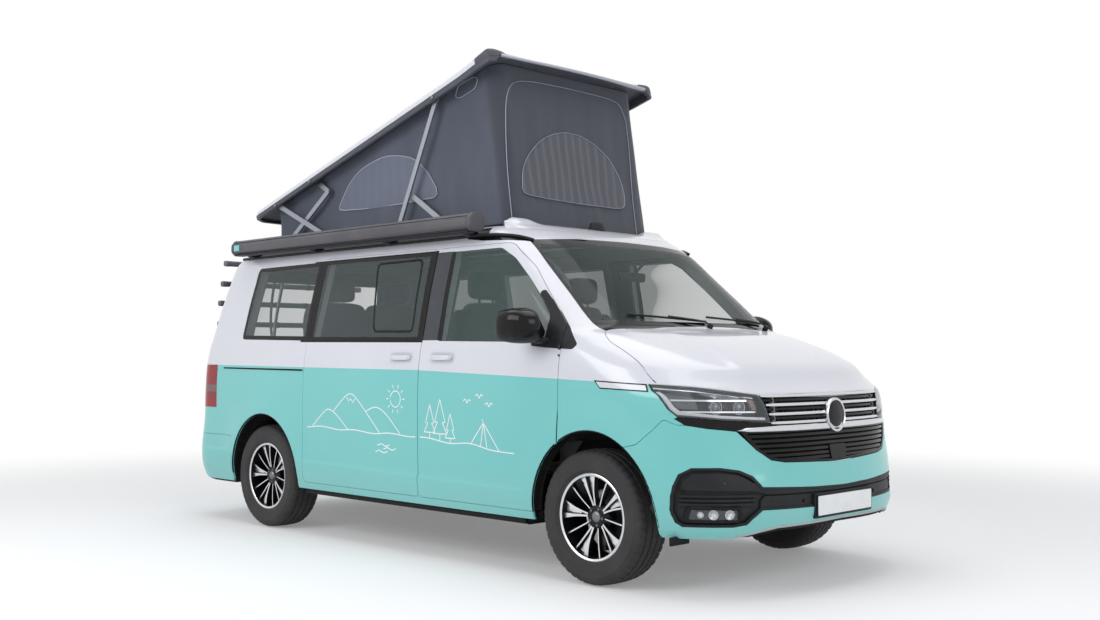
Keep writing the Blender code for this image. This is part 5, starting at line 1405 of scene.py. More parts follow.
# Wheels
tyreRubber = Paint("tyre_rubber", (44, 43, 45), 0.78)
x, y, z = tyreRubber.axes()
worn = tyreRubber.ease(tyreRubber.grain(7.0, 5.0), 0.35, 0.80)
tyreRubber.feed("Base Color", tyreRubber.blend(worn * 0.7, (38, 37, 39), (70, 67, 65)))
tyreRubber.feed("Roughness", 0.70 + worn * 0.18)
tyreRubber.bump(tyreRubber.grain(500.0, 3.0), 0.20, 0.0006)
machined = metal("machined_face", (222, 223, 226), 0.22, (1, 0.15, 0.15), 300.0)
wheelBlack = plainPlastic("wheel_black", (18, 18, 20), (34, 34, 37), 0.28, 400.0, 0.08)
capGrey = metal("wheel_cap", (126, 128, 132), 0.34)
castIron = metal("brake_disc_face", (120, 118, 116), 0.42, (1, 1, 1), 160.0)

tyre = {"steps": 192, "radius": 0.345, "half": 0.1175, "bead": 0.2243}
treadRows = [
    # radius, distance from the middle, how much a shoulder groove takes off
    (0.2243, -0.098, 0), (0.2300, -0.1060, 0), (0.2375, -0.1085, 0), (0.2400, -0.1120, 0),
             (0.2440, -0.1125, 0),
    (0.2600, -0.1160, 0), (0.2800, -0.1175, 0), (0.2960, -0.1170, 0), (0.2985, -0.1180, 0),
             (0.3020, -0.1180, 0),
    (0.3045, -0.1160, 0), (0.3150, -0.1130, 0.001), (0.3240, -0.1080, 0.004), (0.3310, -0.1020, 0.005),
    (0.3375, -0.0940, 0.006), (0.3410, -0.0820, 0.006), (0.3425, -0.0700, 0.005), (0.3360, -0.0680, 0),
    (0.3355, -0.0610, 0), (0.3432, -0.0590, 0.002), (0.3442, -0.0400, 0.002), (0.3445, -0.0270, 0.002),
    (0.3372, -0.0255, 0), (0.3370, -0.0180, 0), (0.3448, -0.0165, 0), (0.3450, 0.0, 0),
]
treadRows += [(r, -d, cut) for r, d, cut in reversed(treadRows[:-1])]


def makeTyre(side):
    mesh = bmesh.new()
    rings = []
    steps = tyre["steps"]
    for k in range(steps):
        a = 2 * math.pi * k / steps
        ring = []
        for row, (radius, along, cut) in enumerate(treadRows):
            groove = cut if (k + (2 if row > len(treadRows) // 2 else 0)) % 4 == 0 else 0.0
            r = radius - groove
            ring.append(mesh.verts.new((along * side, r * math.cos(a), r * math.sin(a))))
        rings.append(ring)
    for k in range(steps):
        first, second = rings[k], rings[(k + 1) % steps]
        for i in range(len(treadRows) - 1):
            mesh.faces.new((first[i], first[i + 1], second[i + 1], second[i]))
    bmesh.ops.recalc_face_normals(mesh, faces=mesh.faces)
    return mesh


def polar(radius, angle, x):
    return Vector((x, radius * math.sin(angle), radius * math.cos(angle)))


def spoke(mesh, inner, outer, widths, lift=0.0, reach=(0.058, 0.207)):
    # a bar from the hub to the rim: bright on its face, black at its sides
    stations = 7
    rows = []
    for k in range(stations):
        t = k / (stations - 1)
        radius = reach[0] + (reach[1] - reach[0]) * t
        angle = inner + (outer - inner) * t
        width = widths[0] + (widths[1] - widths[0]) * t ** (1 if widths[1] < 0.02 else 2.6)
        face = 0.062 + 0.016 * t ** 1.5 + 0.006 * math.sin(math.pi * t) + lift
        sideways = Vector((0, math.cos(angle), -math.sin(angle)))
        middle = polar(radius, angle, face)
        row = []
        for across, down in ((-0.5, 0.028), (-0.5, 0.0020), (-0.42, 0.0), (0.42, 0.0), (0.5, 0.0020),
                             (0.5, 0.028)):
            row.append(mesh.verts.new(middle + sideways * width * across - Vector((down, 0, 0))))
        rows.append(row)
    for first, second in zip(rows, rows[1:]):
        for i in range(5):
            face = mesh.faces.new((first[i], first[i + 1], second[i + 1], second[i]))
            face.material_index = 0 if i == 2 else 1
    mesh.faces.new(rows[0]).material_index = 1
    mesh.faces.new(rows[-1]).material_index = 1


def makeRim(side):
    mesh = bmesh.new()
    turnTo = Matrix.Rotation(math.radians(90), 4, "Y")
    group = 2 * math.pi / 5
    for number in range(5):
        a = group * number + math.radians(11)
        spoke(mesh, a - math.radians(5), a - math.radians(11.5), (0.011, 0.010))
        spoke(mesh, a + math.radians(6), a + math.radians(9.5), (0.012, 0.034))
        spoke(mesh, a + math.radians(37), a + math.radians(35.5), (0.007, 0.009), -0.002)
        # the dark pocket's floor between the two bars of a pair
        spoke(mesh, a, a - math.radians(1), (0.012, 0.060), -0.016)
    bmesh.ops.recalc_face_normals(mesh, faces=mesh.faces)
    for face in mesh.faces:
        if face.material_index == 0 and face.calc_center_median().x < 0.055:
            face.material_index = 1
    barrel = lathe([(0.2240, 0.098), (0.2195, 0.1005), (0.2120, 0.0990), (0.2085, 0.0960)], 96, turnTo)
    well = lathe([(0.2085, 0.0960), (0.2060, 0.0780), (0.2040, 0.0300), (0.1980, -0.0400), (0.2100, -0.0900),
                  (0.2235, -0.0980), (0.2243, -0.0980), (0.2243, 0.0980), (0.2240, 0.0980)], 96, turnTo)
    hub = lathe([(0.0300, 0.0620), (0.0480, 0.0640), (0.0560, 0.0610), (0.0640, 0.0520), (0.0740, 0.0420),
                 (0.0740, 0.0262), (0.0, 0.0262)], 48, turnTo)
    cap = lathe([(0.0, 0.0700), (0.0180, 0.0695), (0.0250, 0.0670), (0.0290, 0.0630), (0.0305, 0.0560)], 40,
                turnTo)
    parts = [mesh, paintAll(barrel, 0), paintAll(well, 1), paintAll(hub, 1), paintAll(cap, 2)]
    for number in range(5):
        spot = polar(0.0430, group * number + math.radians(11 + 36), 0.058)
        parts.append(paintAll(lathe([(0.0, 0.008), (0.0065, 0.008), (0.0075, 0.006), (0.0080, 0.0),
                                     (0.0110, 0.004),
                                     (0.0120, -0.002)], 12, pointing(spot, (1, 0, 0))), 3))
    valve = tube([polar(0.196, 0.42, 0.060), polar(0.180, 0.42, 0.082)], 0.004, 8)
    parts.append(paintAll(valve, 1))
    rim = merge(*parts)
    if side < 0:
        twin = mirrored(rim)
        rim.free()
        rim = twin
    return rim


track, wheelbase = 0.814, 3.0
for name, side, y, carrier in (("front_left", 1, 0.0, "steer_left"), ("front_right", -1, 0.0, "steer_right"),
                               ("rear_left", 1, wheelbase, "root"), ("rear_right", -1, wheelbase, "root")):
    middle = Vector((side * track, y, axleHeight))
    rubber = makeTyre(side)
    bmesh.ops.translate(rubber, vec=middle, verts=rubber.verts)
    finish("tyre_tread_" + name, rubber, "wheel_" + name, [tyreRubber.material],
           ["tyre_" + name], 40)
    rim = makeRim(side)
    bmesh.ops.translate(rim, vec=middle, verts=rim.verts)
    finish("rim_alloy_" + name, rim, "wheel_" + name,
           [machined, wheelBlack, capGrey, castIron],
           ["rim_" + name], 30)
    # brake caliper over the disc
    arc = [(0.098, 0.7), (0.132, 0.62), (0.140, 0.9), (0.140, 1.2), (0.132, 1.48), (0.098, 1.40)]
    spots = [(r * math.cos(a), r * math.sin(a)) for r, a in arc]
    caliper = slab([(y + u, axleHeight + v) for u, v in spots], "side", 0.722, 0.790, 0.006)
    if side < 0:
        twin = mirrored(caliper)
        caliper.free()
        caliper = twin
    finish("brake_caliper_" + name, caliper, carrier,
           [metal("caliper_" + name, (158, 160, 164), 0.4)])
print("wheels made")


# Lifting roof: drawn level, then pitched about its rear pivot
pivot = Vector((0, 3.217, 2.2237))
slope = math.radians(16.6)
pitched = Matrix.Translation(pivot) @ Matrix.Rotation(-slope, 4, "X")
roof = {"half": 0.725, "front": -2.366, "rear": 0.370, "top": 0.058, "foot": -0.021, "wall": 0.0235,
        "skin": 0.030}
roofPlan = []
for x, y in ((0.0, -2.366), (0.350, -2.360), (0.600, -2.352), (0.690, -2.362), (0.738, -2.346),
             (0.735, -2.200),
             (0.725, -2.060), (0.725, 0.230), (0.700, 0.300), (0.620, 0.360), (0.45, 0.370), (0.0, 0.370)):
    roofPlan.append((x, y))
roofPlan = [(-x, y) for x, y in reversed(roofPlan[1:-1])] + roofPlan
softPlan = rounded(roofPlan, 0.028, 4)


def roofLoop(mesh, inset, level):
    ring = []
    for x, y in offset(softPlan, -inset) if inset else softPlan:
        height = level
        rearward = step(y, 0.10, 0.37)
        near = min(1.0, max(0.0, (-2.16 - y) / 0.18))
        middle = 1 - min(1.0, max(0.0, (abs(x) - 0.53) / 0.09)) ** 2
        # the front edge has a raised corner at each end, and its foot is lifted
        if level > 0.02:
            height += (0.014 * (1 - middle) - 0.002 * middle) * near * (1 - min(1.0, inset / 0.05))
        else:
            across = 1 - min(1.0, max(0.0, (abs(x) - 0.645) / 0.045)) ** 2
            height += 0.036 * min(1.0, max(0.0, (-2.20 - y) / 0.08)) * across * (0.02 - level) / 0.041
        # towards the rear the rim's foot runs out to a point
        if level < 0.040:
            height += (0.040 - height) * 0.60 * rearward
        ring.append(mesh.verts.new((x, y, height)))
    return ring


def bridge(mesh, first, second, index):
    for i in range(len(first)):
        j = (i + 1) % len(first)
        mesh.faces.new((first[i], first[j], second[j], second[i])).material_index = index


def lid(mesh, ring, level, index):
    # closes a ring over the van's middle line
    spine = [mesh.verts.new((0, vert.co.y, level)) for vert in ring]
    for i in range(len(ring)):
        j = (i + 1) % len(ring)
        mesh.faces.new((ring[i], ring[j], spine[j], spine[i])).material_index = index


roofMesh = bmesh.new()
outside = [(0.004, -0.021, 1), (0.0, -0.016, 1), (0.0, 0.012, 1), (-0.002, 0.014, 0), (-0.002, 0.026, 0),
           (0.0, 0.040, 0), (0.006, 0.049, 0), (0.016, 0.055, 0), (0.030, 0.057, 0)]
loops = [roofLoop(roofMesh, inset, level) for inset, level, index in outside]
for number, (first, second) in enumerate(zip(loops, loops[1:])):
    bridge(roofMesh, first, second, outside[number][2])
lid(roofMesh, loops[-1], 0.058, 0)
inner = [roofLoop(roofMesh, roof["wall"], -0.021), roofLoop(roofMesh, roof["wall"], 0.028)]
bridge(roofMesh, inner[0], loops[0], 1)
bridge(roofMesh, inner[1], inner[0], 1)
lid(roofMesh, inner[1], 0.028, 1)
bmesh.ops.remove_doubles(roofMesh, verts=roofMesh.verts, dist=0.0012)
bmesh.ops.dissolve_degenerate(roofMesh, edges=roofMesh.edges, dist=0.0004)
bmesh.ops.recalc_face_normals(roofMesh, faces=roofMesh.faces)
for face in roofMesh.faces:
    middle = face.calc_center_median()
    if middle.y < -2.270 and abs(middle.x) > 0.600 or middle.y < -2.31 and middle.z < 0.050:
        face.material_index = 1
roofGrey = plainPlastic("roof_rim", (78, 80, 88), (98, 100, 108), 0.45, 300.0, 0.08)
lipSilver = metal("roof_lip", (172, 174, 182), 0.32, (0.1, 1, 1), 120.0)
lipRoute = [(x, -2.372 + 0.006 * (x / 0.35) ** 2 if abs(x) < 0.35 else
             -2.366 + 0.032 * (abs(x) - 0.35), 0.024) for x in [-0.650 + 0.026 * k for k in range(51)]]
lip = tube([Vector(p) for p in lipRoute], 0.015, 12, flat=0.8)
roofMesh = merge(roofMesh, paintAll(lip, 2))
bmesh.ops.transform(roofMesh, matrix=pitched, verts=roofMesh.verts)
finish("lifting_roof_shell", roofMesh, "pop_roof", [whitePaint, roofGrey, lipSilver],
       ["pop_roof"])
brackets = []
for side in (-1, 1):
    for y, z in ((1.490, 2.7385), (3.217, 2.2237), (2.798, 2.3529)):
        brackets.append(lathe([(0.0, 0.0065), (0.009, 0.006), (0.0125, 0.0035), (0.0125, 0.0)], 16,
                              pointing(Vector((side * 0.7275, y, z)), (side, 0, 0))))
finish("roof_bolts", merge(*brackets), "pop_roof", [metal("bolt_steel", (120, 122, 128), 0.35)])

# Fairing above the windscreen, with a horn at each end
fairing = {"half": 0.700, "rear": 0.873, "columns": 72, "rows": 16}


def fairingFront(x):
    marks = [(0.0, 0.625), (0.400, 0.660), (0.640, 0.745), (0.690, 0.800), (0.700, 0.868)]
    for (x0, y0), (x1, y1) in zip(marks, marks[1:]):
        if abs(x) <= x1:
            return y0 + (y1 - y0) * (abs(x) - x0) / (x1 - x0)
    return marks[-1][1]


def roofHeight(x, y):
    low, high = 1.70, 1.911
    for _ in range(22):
        middle = (low + high) / 2
        if onFront(x, middle, 0.0).y < y:
            low = middle
        else:
            high = middle
    return low


fairingMesh = bmesh.new()
grid = []
for i in range(fairing["columns"] + 1):
    x = fairing["half"] * (2 * i / fairing["columns"] - 1)
    front = fairingFront(x)
    foot = roofHeight(x, front)
    horn = step(abs(x), 0.440, 0.560) * (1 - step(abs(x), 0.640, 0.700) * 0.85)
    column = []
    for k in range(fairing["rows"] + 1):
        t = k / fairing["rows"]
        y = front + (fairing["rear"] - front) * t
        crest = 1.934 + 0.028 * horn * step(t, 0.30, 0.85)
        z = foot + (crest - foot) * math.sin(math.pi / 2 * t) ** 0.75
        column.append(fairingMesh.verts.new((x, y, max(z, roofHeight(x, y) + 0.004 if y < 0.80 else z))))
    column.append(fairingMesh.verts.new((x, fairing["rear"] + 0.004, column[-1].co.z - 0.004)))
    column.append(fairingMesh.verts.new((x, fairing["rear"] + 0.004, 1.9125)))
    grid.append(column)
for first, second in zip(grid, grid[1:]):
    for k in range(len(first) - 1):
        fairingMesh.faces.new((first[k], second[k], second[k + 1], first[k + 1]))
fairingMesh.normal_update()
knob = lathe([(0.0, 0.046), (0.020, 0.045), (0.027, 0.038), (0.030, 0.020), (0.034, 0.004),
              (0.034, -0.004)], 24,
             Matrix.Translation((0.0, 0.790, 1.928)) @ Matrix.Scale(2.1, 4, (1, 0, 0)))
rail = [(-0.5, 0.889), (0.5, 0.889), (0.625, 0.96), (0.629, 1.2), (0.629, 3.2), (0.60, 3.33), (0.5, 3.374),
        (-0.5, 3.374), (-0.60, 3.33), (-0.629, 3.2), (-0.629, 1.2), (-0.625, 0.96)]
railTube = tube([Vector((u, v, 1.9225)) for u, v in rail], 0.0085, 8, closed=True)
plates = [block((-0.634, 0.880, 1.9115), (0.634, 1.050, 1.928)),
          block((-0.634, 3.200, 1.9115), (0.634, 3.380, 1.928)),
          block((-0.634, 1.045, 1.9115), (-0.560, 3.205, 1.928)),
          block((0.560, 1.045, 1.9115), (0.634, 3.205, 1.928))]
finish("roof_fairing", merge(paintAll(fairingMesh, 0), paintAll(knob, 1), paintAll(railTube, 1),
                             paintAll(merge(*plates), 1)), "root", [whitePaint, satinBlack],
       ["roof_frame"], 50)

# Awning in its cassette
anthracite = Paint("awning_case", (72, 71, 77), 0.42)
anthracite.feed("Base Color", anthracite.blend(anthracite.ease(anthracite.grain(3.0, 4.0), 0.3, 0.8),
                                               (66, 65, 71), (84, 83, 89)))
anthracite.feed("Roughness", 0.36 + anthracite.grain(60.0, 3.0) * 0.14)
anthracite.bump(anthracite.grain(700.0, 2.0), 0.08, 0.0004)
awningDark = plainPlastic("awning_rail", (38, 38, 42), (52, 52, 56), 0.5, 300.0, 0.1)
squareMint = paintWork("mint_square", (120, 200, 196), (112, 194, 190), 0.3)
caseLine = rounded([(-0.800, 1.885), (-0.830, 1.873), (-0.893, 1.873), (-0.915, 1.897), (-0.915, 1.943),
                    (-0.890, 1.975), (-0.840, 1.981), (-0.800, 1.965)], 0.010, 4)
case = slab(caseLine, "front", 0.966, 3.455, 0.002)
caps = [slab(offset(caseLine, 0.002), "front", 0.930, 0.966, 0.006, 3),
        slab(offset(caseLine, 0.002), "front", 3.455, 3.490, 0.010, 3)]
ridges = []
for x, z in ((-0.9045, 1.9585), (-0.905, 1.8855)):
    ridges.append(tube([Vector((x, 0.968, z)), Vector((x, 3.453, z))], 0.0022, 6))
underRail = block((-0.905, 0.96, 1.866), (-0.835, 3.46, 1.874), 0.003)
holders = []
for place in (1.05, 1.80, 2.60, 3.36):
    holders.append(slab([(-0.835, 1.868), (-0.790, 1.850), (-0.752, 1.892), (-0.790, 1.900),
                         (-0.830, 1.890)], "front",
                        place, place + 0.05, 0.003))
square = slab([(3.380, 1.900), (3.446, 1.900), (3.446, 1.940), (3.380, 1.940)], "side", -0.9178, -0.9140,
              0.001)
finish("awning_case", merge(paintAll(case, 0), *[paintAll(part, 0) for part in caps],
                            *[paintAll(part, 1) for part in ridges], paintAll(underRail, 1),
                            *[paintAll(part, 1) for part in holders], paintAll(square, 2)),
       "root", [anthracite.material, awningDark, squareMint], ["awning"])
print("roof made")


# Canvas: one wall all round, stretched between the rail and the lifted roof
tent = {"half": 0.635, "front": 0.885, "rear": 3.370, "lean": 0.150, "corner": 0.10, "foot": 1.9325,
        "columns": 400, "levels": 44}


def tentRing(count):
    # evenly spaced places round the foot, with the way each one faces
    half, corner = tent["half"] - tent["corner"], tent["corner"]
    front, rear = tent["front"] + corner, tent["rear"] - corner
    legs = [((half + corner, rear), (half + corner, front), (1, 0)),
            ((half, front - corner), (-half, front - corner), (0, -1)),
            ((-half - corner, front), (-half - corner, rear), (-1, 0)),
            ((-half, rear + corner), (half, rear + corner), (0, 1))]
    bends = [((half, front), 0.0), ((-half, front), -math.pi / 2), ((-half, rear), -math.pi),
             ((half, rear), math.pi / 2)]
    marks = []
    for (start, end, face), (middle, turn) in zip(legs, bends):
        span = math.dist(start, end)
        steps = max(2, round(count * span / (2 * (2 * half + rear - front) + 2 * math.pi * corner)))
        for k in range(steps):
            t = k / steps
            marks.append((start[0] + (end[0] - start[0]) * t, start[1] + (end[1] - start[1]) * t, *face))
        bend = 12
        for k in range(bend):
            a = turn - math.pi / 2 * k / bend
            marks.append((middle[0] + corner * math.cos(a), middle[1] + corner * math.sin(a), math.cos(a),
                          math.sin(a)))
    return marks


def tentTop(y):
    return 2.2237 - math.tan(slope) * (y - 3.217) - (0.030 + 0.004 - 0.058) / math.cos(slope)


def tentSpot(x, y, faceX, faceY, t, proud=0.0):
    # a place on the wall: the front leans back as it rises
    lean = tent["lean"] * t
    y = tent["rear"] - ((tent["rear"] - y) * (tent["rear"] - tent["front"] - lean)
                        / (tent["rear"] - tent["front"]))
    z = tent["foot"] + (tentTop(y) - tent["foot"]) * t
    # slack between the corners, folds at the foot and drag lines towards the struts
    edge = math.sin(math.pi * min(1.0, max(0.0, t))) ** 0.7
    around = y * 1.0 + x * 1.7
    wave = (math.sin(around * 13.0 + 2.0 * math.sin(z * 3.1)) * 0.0022
            + math.sin(around * 29.0 - z * 9.0) * 0.0010)
    drag = math.sin((y - 0.8 * z) * 17.0) * 0.0016
    pull = -0.006 * edge
    if abs(faceY) > 0.9:
        pull -= 0.010 * edge * math.cos(math.pi * x / (2 * tent["half"]))
    low = (1 - t) ** 3 * math.sin(around * 46.0) * 0.0018
    inward = pull + (wave + drag) * edge + low * edge + proud - 0.004
    return Vector((x + faceX * inward, y + faceY * inward, z))


def tentWall(marks, low, high, levels, proud=0.0, keep=None):
    mesh = bmesh.new()
    closed = keep is None
    columns = [[mesh.verts.new(tentSpot(*mark, low + (high - low) * k / levels, proud))
                for k in range(levels + 1)]
               for mark in marks]
    for first, second in zip(columns, columns[1:] + (columns[:1] if closed else [])):
        for k in range(levels):
            mesh.faces.new((first[k], second[k], second[k + 1], first[k + 1]))
    bmesh.ops.recalc_face_normals(mesh, faces=mesh.faces)
    return mesh


canvasWeave = Paint("tent_canvas", (64, 71, 86), 0.85, Sheen_Weight=0.25, Sheen_Roughness=0.6)
x, y, z = canvasWeave.axes()
threads = ((x + y) * 2600.0).sine() * (z * 2600.0).sine()
patch = canvasWeave.ease(canvasWeave.grain(3.5, 4.0, (1, 1, 0.5)), 0.30, 0.75)
# the front wall is painted darker than the sides: painted shade on the same canvas
frontPaintedShade = canvasWeave.ease(y * -1.0 + (z - 1.93) * 0.1724, 0.62, 0.68)
canvasTone = canvasWeave.blend(patch, (62, 69, 85), (75, 82, 98))
canvasWeave.feed("Base Color", canvasWeave.blend(frontPaintedShade, canvasTone, (52, 56, 67)))
canvasWeave.feed("Roughness", 0.82 + threads * 0.06)
canvasWeave.bump(threads * 0.5 + canvasWeave.grain(90.0, 4.0) * 0.7, 0.35, 0.0010)
meshWeave = Paint("window_mesh", (96, 104, 120), 0.75, Sheen_Weight=0.2)
x, y, z = meshWeave.axes()
net = ((x + y) * 3400.0).sine() * (z * 3400.0).sine()
folds = meshWeave.ease((y * 66.0 + meshWeave.grain(2.0, 2.0) * 6.0).sine(), -0.4, 1.0)
# the fold crests are painted lighter as well as bumped: painted highlight along the folds
meshWeave.feed("Base Color", meshWeave.blend(folds * 0.3, (98, 105, 122), (106, 113, 128)))
meshWeave.feed("Roughness", 0.70 + net * 0.08)
meshWeave.bump(net * 0.6 + folds, 0.25, 0.0012)
frontMesh = Paint("front_window_mesh", (88, 90, 98), 0.75, Sheen_Weight=0.2)
x, y, z = frontMesh.axes()
netted = ((x + y) * 3400.0).sine() * (z * 3400.0).sine()
pleats = frontMesh.ease((x * 92.0 + frontMesh.grain(3.0, 2.0) * 5.0).sine(), -0.2, 1.0)
# the pleat crests are painted lighter as well as bumped: painted highlight along the pleats
frontMesh.feed("Base Color", frontMesh.blend(pleats * 0.6, (74, 76, 85), (100, 99, 106)))
frontMesh.feed("Roughness", 0.72 + netted * 0.08)
frontMesh.bump(netted * 0.5 + pleats * 1.5, 0.30, 0.0015)
piping = cloth("piping", (150, 156, 170), (170, 176, 188), 900.0, 0.3, 0.7)

wall = tentWall(tentRing(tent["columns"]), 0.0, 1.0, tent["levels"])
canvasWall = finish("tent_wall", wall, "root", [canvasWeave.material], ["canvas"], 60)


def onTentSide(y, z, side, proud=0.006):
    # a place on the right or left wall, given as seen from the side
    t = (z - tent["foot"]) / (tentTop(y) - tent["foot"])
    span = tent["rear"] - tent["front"]
    grown = tent["rear"] - (tent["rear"] - y) * span / (span - tent["lean"] * t)
    return tentSpot(side * tent["half"], grown, side, 0, t, proud)


def onTentFront(x, z, proud=0.006):
    t = 0.5
    for _ in range(8):
        y = tent["front"] + tent["lean"] * t
        t = (z - tent["foot"]) / (tentTop(y) - tent["foot"])
    corner = tent["half"] - tent["corner"]
    beyond = max(0.0, abs(x) - corner)
    a = math.asin(min(1.0, beyond / tent["corner"]))
    spotX = math.copysign(min(abs(x), corner) + tent["corner"] * math.sin(a) * (beyond > 0), x)
    return tentSpot(spotX, tent["front"] + tent["corner"] * (1 - math.cos(a)), math.copysign(math.sin(a), x),
                    -math.cos(a), t, proud)


def tentLine(points, place, width=0.0036, closed=False):
    route = [place(*p) for p in points]
    return tube(route, width, 6, closed=closed, flat=0.6)


def tentPatch(outline, place, spacing=0.020, proud=0.0045):
    # a piece of mesh sewn on: a grid cut to its outline
    u0, u1, v0, v1 = bounds(outline)
    mesh = bmesh.new()
    across, up = max(4, round((u1 - u0) / spacing)), max(4, round((v1 - v0) / spacing))
    rows = [[mesh.verts.new((u0 + (u1 - u0) * i / across, v0 + (v1 - v0) * k / up, 0))
             for i in range(across + 1)]
            for k in range(up + 1)]
    for first, second in zip(rows, rows[1:]):
        for i in range(across):
            mesh.faces.new((first[i], first[i + 1], second[i + 1], second[i]))
    for (ax, ay), (bx, by) in zip(outline, outline[1:] + outline[:1]):
        bmesh.ops.bisect_plane(mesh, geom=mesh.verts[:] + mesh.edges[:] + mesh.faces[:], dist=1e-5,
                               plane_co=(ax, ay, 0), plane_no=(by - ay, ax - bx, 0))
    outer = [face for face in mesh.faces if not inside(outline, *face.calc_center_median().xy)]
    bmesh.ops.delete(mesh, geom=outer, context="FACES")
    for vert in mesh.verts:
        vert.co = place(vert.co.x, vert.co.y, proud)
    mesh.normal_update()
    return mesh


def tracePlaces(points, count=10):
    return [tuple(p.xy) for p in curved([(u, v, 0) for u, v in points], count)]


frontZip = tracePlaces([(-0.600, 1.945), (-0.596, 2.30), (-0.572, 2.62), (-0.525, 2.755), (-0.430, 2.812),
                        (-0.2, 2.830),
                        (0.2, 2.830), (0.43, 2.812), (0.500, 2.740), (0.515, 2.62), (0.500, 2.30),
                        (0.480, 1.945)], 8)
frontArch = tracePlaces([(-0.510, 2.150), (-0.473, 2.287), (-0.344, 2.433), (-0.200, 2.512), (-0.050, 2.542),
                         (0.115, 2.525), (0.275, 2.440), (0.375, 2.325), (0.412, 2.205), (0.402, 2.125)], 8)
frontArch = frontArch + [(0.370, 2.105), (0.312, 2.098), (0.0, 2.098), (-0.3, 2.105), (-0.459, 2.114),
                         (-0.500, 2.125)]
sideArch = tracePlaces([(2.575, 2.170), (2.463, 2.312), (2.315, 2.402), (2.113, 2.449), (1.944, 2.444),
                        (1.781, 2.402),
                        (1.648, 2.310), (1.558, 2.200)], 8)
sideArch = sideArch + [(1.549, 2.160), (1.580, 2.142), (1.915, 2.131), (2.342, 2.133), (2.530, 2.140),
                       (2.572, 2.150)]
vent = rounded([(1.382, 2.738), (1.352, 2.802), (1.205, 2.838), (1.172, 2.815), (1.200, 2.762),
                (1.340, 2.725)],
               0.022, 6)
frontTrim = merge(tentLine(frontZip, onTentFront), tentLine(frontArch, onTentFront, closed=True))
soft = [canvasWall, finish("front_piping", frontTrim, "root", [piping], (), 60)]
netFront = tentPatch(frontArch, onTentFront)
soft.append(finish("front_window_net", netFront, "root", [frontMesh.material], (), 60))
for side, name in ((-1, "right"), (1, "left")):
    place = lambda y, z, proud=0.006, side=side: onTentSide(y, z, side, proud)
    lines = merge(tentLine(sideArch, place, closed=True), tentLine(vent, place, closed=True))
    soft.append(finish("side_piping_" + name, lines, "root", [piping], (), 60))
    soft.append(finish("side_window_net_" + name, tentPatch(sideArch, place), "root",
                       [meshWeave.material], (), 60))
[piece.name for piece in soft[1:]]
for piece in soft:
    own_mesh(piece)
print("canvas made, area", round(sum(f.area for f in canvasWall.data.polygons), 3))


# Inside: padded seats, bench, kitchen, dashboard and steering wheel
seatWeave = cloth("seat_weave", (58, 60, 66), (74, 76, 82), 1400.0, 0.35, 0.85, Sheen_Weight=0.25)
seatEdge = cloth("seat_side", (40, 41, 45), (52, 53, 58), 1100.0, 0.30, 0.80)
boardPale = plainPlastic("cabinet_board", (196, 198, 200), (206, 208, 210), 0.42, 90.0, 0.05)
boardEdge = plainPlastic("worktop_board", (96, 99, 104), (112, 114, 119), 0.38, 160.0, 0.06)
dashPlastic = plainPlastic("dashboard_skin", (34, 35, 38), (46, 47, 51), 0.60, 600.0, 0.35)
screenGlass = plainPlastic("display_glass", (10, 11, 14), (16, 18, 22), 0.08, 200.0, 0.02)


def cushion(low, high, power=0.42, pinch=0.035, channels=0, along="x"):
    # a crowned closed form whose sides pull in between its corners
    middle = (Vector(low) + Vector(high)) / 2
    size = (Vector(high) - Vector(low)) / 2
    rows, columns = 26, 56
    mesh = bmesh.new()
    rings = []
    for i in range(rows + 1):
        lift = math.pi * (i / rows - 0.5)
        ring = []
        for k in range(columns):
            a = 2 * math.pi * k / columns
            c = max(0.0, math.cos(lift)) ** power
            x = math.copysign(abs(math.cos(a)) ** power, math.cos(a)) * c
            y = math.copysign(abs(math.sin(a)) ** power, math.sin(a)) * c
            z = math.copysign(abs(math.sin(lift)) ** power, math.sin(lift))
            pull = Vector((1 - pinch * (1 - y * y) * (1 - z * z) * 0.5,
                           1 - pinch * (1 - x * x) * (1 - z * z) * 0.5, 1))
            if channels:
                place = x if along == "x" else y if along == "y" else z
                groove = max(0.0, math.cos(math.pi * channels * place)) ** 12
                pull *= 1 - 0.030 * groove
            ring.append(mesh.verts.new(middle + Vector((x * size.x * pull.x, y * size.y * pull.y,
                                                        z * size.z * pull.z))))
        rings.append(ring)
    for first, second in zip(rings, rings[1:]):
        for k in range(columns):
            mesh.faces.new((first[k], first[(k + 1) % columns], second[(k + 1) % columns], second[k]))
    bmesh.ops.remove_doubles(mesh, verts=mesh.verts, dist=0.0004)
    bmesh.ops.recalc_face_normals(mesh, faces=mesh.faces)
    return mesh


